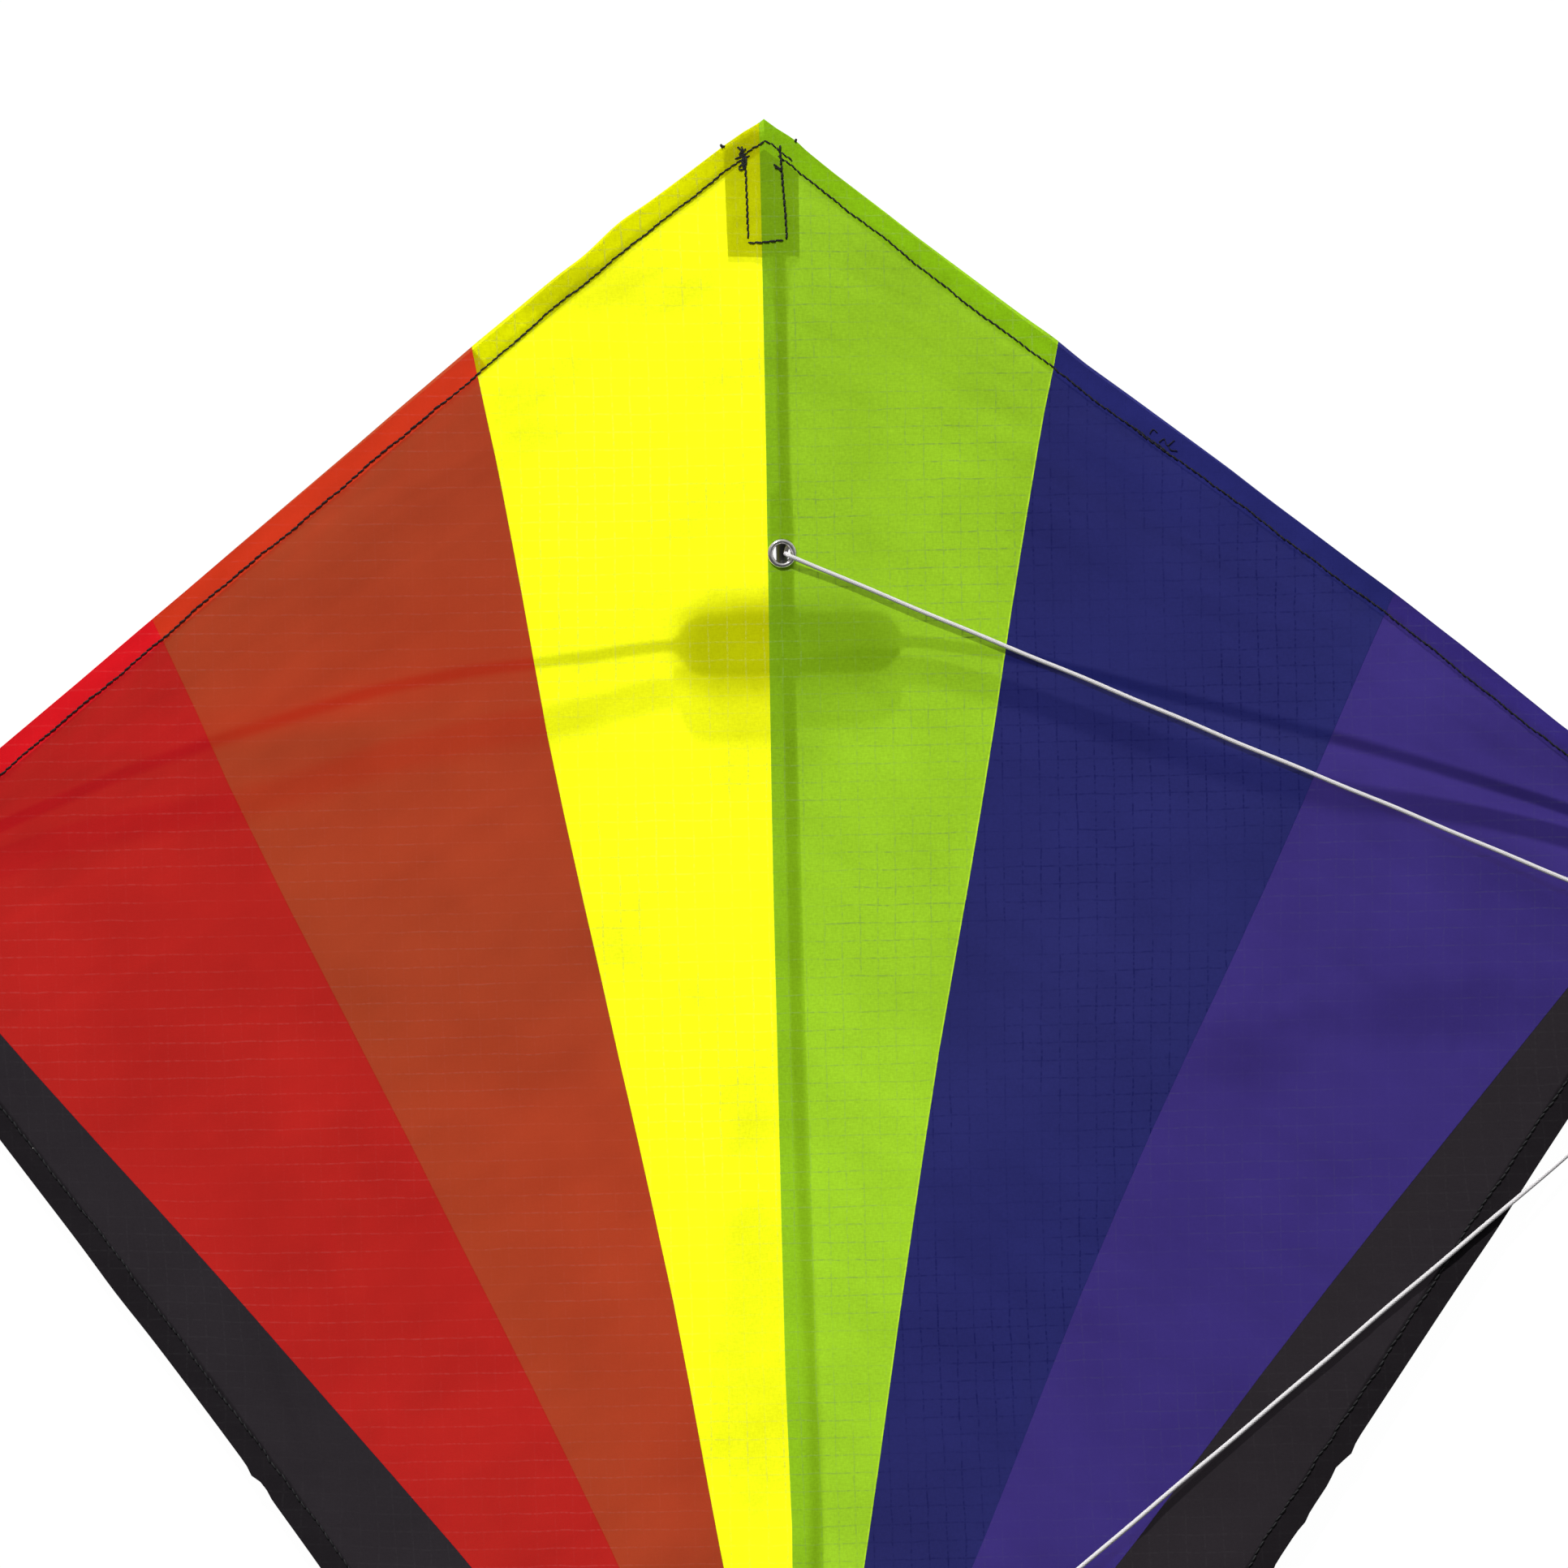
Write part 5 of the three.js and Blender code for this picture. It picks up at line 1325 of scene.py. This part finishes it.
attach(tpk, "spine")
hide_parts("tail_pocket")
tst = []
for xx in (-4.0, 9.6):
    tst += stitches(np.array([(xx, 674), (xx, 697)]), 2.4)
tst += stitches(np.array([(-4.0, 697), (9.6, 697)]), 2.4)
tst += stitches(np.array([(-4.0, 674), (9.6, 674)]), 2.4)
tso = tube_object("tail_stitching", tst, THREAD)
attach(tso, "spine")

# how far each half spar bows in the wing's plane towards the nose: (distance from the spine, mm)
BOW = {"left": [(40, 0), (52, -0.9), (66, -1.6), (84, -1.0), (100, 0.4), (137, 3.2), (164, 3.9), (192, 5.2), (216, 6.2), (241, 5.9), (262, 5.0), (290, 2.4), (309, 0.3), (314, 0)],
       "right": [(40, 0), (52, -0.8), (70, -2.7), (100, -5.4), (125, -6.7), (149, -6.7), (176, -5.5), (204, -3.5), (231, -1.8), (253, -0.7), (280, 0), (314, 0)]}

# tip pockets, black, over the spar ends
for side, k in (("left", -1), ("right", 1)):
    slope = 0.33 * CD
    # outwards along the spar in the wing's plane, then in face coordinates
    o = np.array([k / math.hypot(1, slope), -slope / math.hypot(1, slope)])
    of = np.array([o[0] * CD, -o[1]])                 # face: x shrinks by the dihedral, y is down
    ac = np.array([-o[1], o[0]])
    af = np.array([ac[0] * CD, -ac[1]])
    end = np.array([k * 314.0, 255.0])
    secs = []
    for u in np.concatenate([np.arange(-1.2, 6.0, 0.6), np.arange(6.0, 29.6, 1.4), [29.5]]):
        g = float(smooth(-1.4, 0.8, u))
        sec = []
        prof_ = [(-9, -1.12), (-7.4, -1.12), (-5.9, -1.15), (-4.8, -1.3), (-4.1, -1.9)]
        prof_ += [(3.4 * math.cos(a), -4.15 + 3.4 * math.sin(a)) for a in np.linspace(math.radians(166), math.radians(374), 17)]
        prof_ += [(4.1, -1.9), (4.8, -1.3), (5.9, -1.15), (7.4, -1.12), (9, -1.12)]
        for v_, h in prof_:
            p = end - of * u + af * v_
            # the tunnel follows the rod where it is bowed
            b = np.interp(abs(p[0]), [q[0] for q in BOW[side]], [q[1] for q in BOW[side]]) * float(smooth(8.2, 4.4, abs(v_)))
            sec.append((p[0], p[1] - b, h * g + (-1.3) * (1 - g)))
        secs.append(sec)
    bm = sweep_grid(secs)
    clip_outline(bm, 0.7, (k,))
    # fold the far end shut round the cap
    ob = place(bm, f"tip_pocket_{side}_cloth", MATS["black"], None)
    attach(ob, side + "_wing")
    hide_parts("tip_pocket_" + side)
    st = []
    for v_ in (-7.2, 7.2):
        a_, b_ = end - of * 27.5 + af * v_, end - of * 6.0 + af * v_
        st += stitches(np.array([a_, b_]), 2.4)
    a_, b_ = end - of * 27.5 - af * 7.2, end - of * 27.5 - af * 4.2
    st += stitches(np.array([a_, b_]), 1.8)
    a_, b_ = end - of * 27.5 + af * 4.2, end - of * 27.5 + af * 7.2
    st += stitches(np.array([a_, b_]), 1.8)
    so = tube_object(f"tip_stitching_{side}", st, THREAD)
    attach(so, side + "_wing")
    # cap
    at = surf(end[0], end[1], -4.15, lifted=False)
    at2 = surf(*(end - of * 12), -4.15, lifted=False)
    cap(f"spar_end_cap_{side}", "spar_cap_" + side, at, Vector(at2 - at), 12, side + "_wing")

# ---------------------------------------------------------------- tail ribbon loop
LOOP_IN, LOOP_T, LOOP_LEN = 3.4, 0.6, 24.0
mid = LOOP_IN + LOOP_T / 2
line_ = [(2.0, -mid)] + [(-LOOP_LEN * i / 10, -mid) for i in range(0, 11)]
line_ += [(-LOOP_LEN - mid * math.sin(a), -mid * math.cos(a)) for a in np.linspace(0, math.pi, 15)[1:-1]]
up0 = 1.5 - LOOP_IN + LOOP_T / 2
for i in range(0, 13):
    t = i / 12
    s_ = 3 * t * t - 2 * t ** 3
    line_.append((-LOOP_LEN + (LOOP_LEN + 2) * t, mid * (1 - s_) + up0 * s_))
line_ = np.array(line_)
tn = np.gradient(line_, axis=0)
tn /= np.linalg.norm(tn, axis=1)[:, None]
nn = np.stack([-tn[:, 1], tn[:, 0]], -1)
arc_len = np.concatenate([[0], np.cumsum(np.hypot(*np.diff(line_, axis=0).T))])
sec = [(-4.0, -0.18), (-4.0, 0.18), (-3.8, 0.28), (-3.2, 0.3), (-1.6, 0.3), (0, 0.3), (1.6, 0.3), (3.2, 0.3), (3.8, 0.28), (4.0, 0.18), (4.0, -0.18),
       (3.8, -0.28), (3.2, -0.3), (1.6, -0.3), (0, -0.3), (-1.6, -0.3), (-3.2, -0.3), (-3.8, -0.28)]
ly0, lz0 = -(711 + 0.3 + 0.45 + 0.3 + 2), SPINE_Z - 3.65 + LOOP_IN + LOOP_T
V, UVs, Fc = [], [], []
for i, (p, q) in enumerate(zip(line_, nn)):
    for wx_, wt in sec:
        V.append((SPINE_X + wx_, ly0 + p[0] + q[0] * wt, lz0 + p[1] + q[1] * wt))
        UVs.append((wx_ / 100, arc_len[i] / 100))
sm = len(sec)
for i in range(len(line_) - 1):
    for j in range(sm):
        j2 = (j + 1) % sm
        Fc.append((i * sm + j, (i + 1) * sm + j, (i + 1) * sm + j2, i * sm + j2))
Fc.append(tuple(range(sm)))
Fc.append(tuple(reversed(range((len(line_) - 1) * sm, len(line_) * sm))))
V = np.array(V)
lo_ = finish_mesh("tail_ribbon_loop", (row(V[:, 0], V[:, 1], V[:, 2]), Fc), RIBBON)
set_uv(lo_.data, UVs, "face")
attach(lo_, "spine")
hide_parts("tail_loop")


# ---------------------------------------------------------------- centre connector: the moulding's edges softened
def softened(node, name, mat, voxel, body, rounds=4):
    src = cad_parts[node]
    ob = bpy.data.objects.new(name, src.data.copy())
    ob.data.name = name
    scene.collection.objects.link(ob)
    ob.data.materials.clear()
    ob.data.materials.append(mat)
    md = ob.modifiers.new("r", "REMESH")
    md.mode, md.voxel_size, md.use_smooth_shade = "VOXEL", voxel, True
    ms = ob.modifiers.new("s", "SMOOTH")
    ms.factor, ms.iterations = 0.5, rounds
    dg = bpy.context.evaluated_depsgraph_get()
    me = bpy.data.meshes.new_from_object(ob.evaluated_get(dg))
    ob.modifiers.clear()
    ob.data = me
    if not me.materials:
        me.materials.append(mat)
    me.polygons.foreach_set("use_smooth", np.ones(len(me.polygons), bool))
    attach(ob, body)
    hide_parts(node)
    return ob


conn = softened("centre_connector", "centre_connector_moulding", MOULD, 0.00034, "spine")

# ---------------------------------------------------------------- half spars, the same curves as the CAD spars
for side, k in (("left", -1), ("right", 1)):
    def local(x, y, z):
        x = x - F
        # into the wing's plane
        if k > 0:
            return np.array([x * CD - z * SD, y, x * SD + z * CD])
        return np.array([x * CD + z * SD, y, -x * SD + z * CD])
    root = local(SPINE_X + k * 7 * CD, -CONN_Y, SPINE_Z - 7 * SD)
    mouth = local(SPINE_X + k * 38.5 * CD, -CONN_Y, SPINE_Z - 38.5 * SD)
    slope = 0.33 * CD
    o = np.array([k, -slope, 0]) / math.hypot(1, slope)
    endp = np.array([(k * 314.0 - F) / CD, -255.0, -4.15]) - o * 1.8
    run, drop = abs(endp[0] - mouth[0]), mouth[1] - endp[1]
    b_ = slope * run - 2 * drop
    a_ = drop - b_
    pts = [root, (root + mouth) / 2, mouth]
    for i in range(1, 49):
        u = i / 48
        pts.append(np.array([mouth[0] + k * run * u, mouth[1] - (a_ * u * u + b_ * u ** 3),
                             mouth[2] + (endp[2] - mouth[2]) * u * u * (3 - 2 * u) - 3.5 * 16 * u * u * (1 - u) ** 2]))
    pts = spline(np.array(pts), 3)
    if k > 0:
        kx, kz = F + pts[:, 0] * CD + pts[:, 2] * SD, -pts[:, 0] * SD + pts[:, 2] * CD
    else:
        kx, kz = F + pts[:, 0] * CD - pts[:, 2] * SD, pts[:, 0] * SD + pts[:, 2] * CD
    knots = BOW[side]
    bow = np.interp(np.abs(kx), [q[0] for q in knots], [q[1] for q in knots])
    for _ in range(6):
        bow[1:-1] = (bow[:-2] + 2 * bow[1:-1] + bow[2:]) / 4
    bow = bow * (np.abs(kx) > 39)
    pts = pts + np.outer(bow, (0, 1, 0))
    ob = tube_object("spar_rod_" + side, [tube_data(row(kx, pts[:, 1], kz), 0.002, 24)], SPAR)
    wing_blend(ob)
    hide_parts("spar_" + side)

# ---------------------------------------------------------------- what each piece of cloth was cut to


for name, (side, key, poly, _) in PANELS.items():
    p = np.array([((x - F) / CD, y) for x, y in poly])
    e = [(np.hypot(*(p[(i + 1) % len(p)] - p[i])), i) for i in range(len(p))]
    i = max(e)[1]
    d = (p[(i + 1) % len(p)] - p[i]) / max(e)[0]
    u, v = p @ d, p @ np.array([-d[1], d[0]])
    w, l = (v.max() - v.min()) / 1000, (u.max() - u.min()) / 1000

# ---------------------------------------------------------------- floor and lights
fm = Nodes("pale_floor")
co = fm.new("TexCoord").outputs["Object"]
tint = fm.mix(fm.noise(co, 40.0, 2.0), (0.030, 0.030, 0.030, 1), (0.036, 0.036, 0.036, 1))
df = fm.new("BsdfDiffuse")
fm.put(df.inputs["Color"], tint)
em = fm.new("Emission")
em.inputs["Color"].default_value = (1, 1, 1, 1)
lp = fm.new("LightPath")
fm.put(em.inputs["Strength"], fm.range(lp.outputs["Is Diffuse Ray"], 0.0, 1.0, 0.985, 0.05, kind="LINEAR"))
ad = fm.new("AddShader")
fm.t.links.new(df.outputs[0], ad.inputs[0])
fm.t.links.new(em.outputs[0], ad.inputs[1])
tp_ = fm.new("BsdfTransparent")
mx = fm.new("MixShader")
fm.t.links.new(lp.outputs["Is Shadow Ray"], mx.inputs[0])
fm.t.links.new(ad.outputs[0], mx.inputs[1])
fm.t.links.new(tp_.outputs[0], mx.inputs[2])
fm.out(mx.outputs[0])
bm = bmesh.new()
R_ = 70.0
bm.faces.new([bm.verts.new(v) for v in ((-R_, -R_, -0.0004), (R_, -R_, -0.0004), (R_, R_, -0.0004), (-R_, R_, -0.0004))])
me = bpy.data.meshes.new("floor")
bm.to_mesh(me)
bm.free()
me.materials.append(fm.mat)
floor = bpy.data.objects.new("floor", me)
scene.collection.objects.link(floor)


def sun(name, travel, energy, angle, color=(1, 1, 1)):
    l = bpy.data.lights.new(name, "SUN")
    l.energy, l.angle, l.color = energy, math.radians(angle), color
    o = bpy.data.objects.new(name, l)
    o.rotation_mode = "QUATERNION"
    o.rotation_quaternion = travel.to_track_quat("-Z", "Y")
    scene.collection.objects.link(o)
    return o


K_ANG = math.radians(50)
sun("key", kdir(0.24, -math.sin(K_ANG), -math.cos(K_ANG)), 0.75 * math.pi / math.cos(K_ANG), 1.2)
t1 = Vector((0.28, 0.02, 1.0)).normalized()
sun("under", kdir(*t1), 0.84 * math.pi / t1.z, 16.0)
t2 = Vector((0.28, -2.3, 1.0)).normalized()
sun("under_low", kdir(*t2), 0.52 * math.pi / t2.z, 5.0)

world = bpy.data.worlds.new("studio")
scene.world = world
world.use_nodes = True
wt = world.node_tree
bg = wt.nodes["Background"]
wc = wt.nodes.new("ShaderNodeTexCoord")
wm = wt.nodes.new("ShaderNodeSeparateXYZ")
wr = wt.nodes.new("ShaderNodeMapRange")
wr.interpolation_type = "SMOOTHSTEP"
for i_, v_ in ((1, -0.35), (2, 0.45), (3, 0.10), (4, 0.52)):
    wr.inputs[i_].default_value = v_
wt.links.new(wc.outputs["Generated"], wm.inputs[0])
wt.links.new(wm.outputs[1], wr.inputs[0])
wt.links.new(wr.outputs[0], bg.inputs["Strength"])
bg.inputs["Color"].default_value = (0.96, 0.98, 1.0, 1)
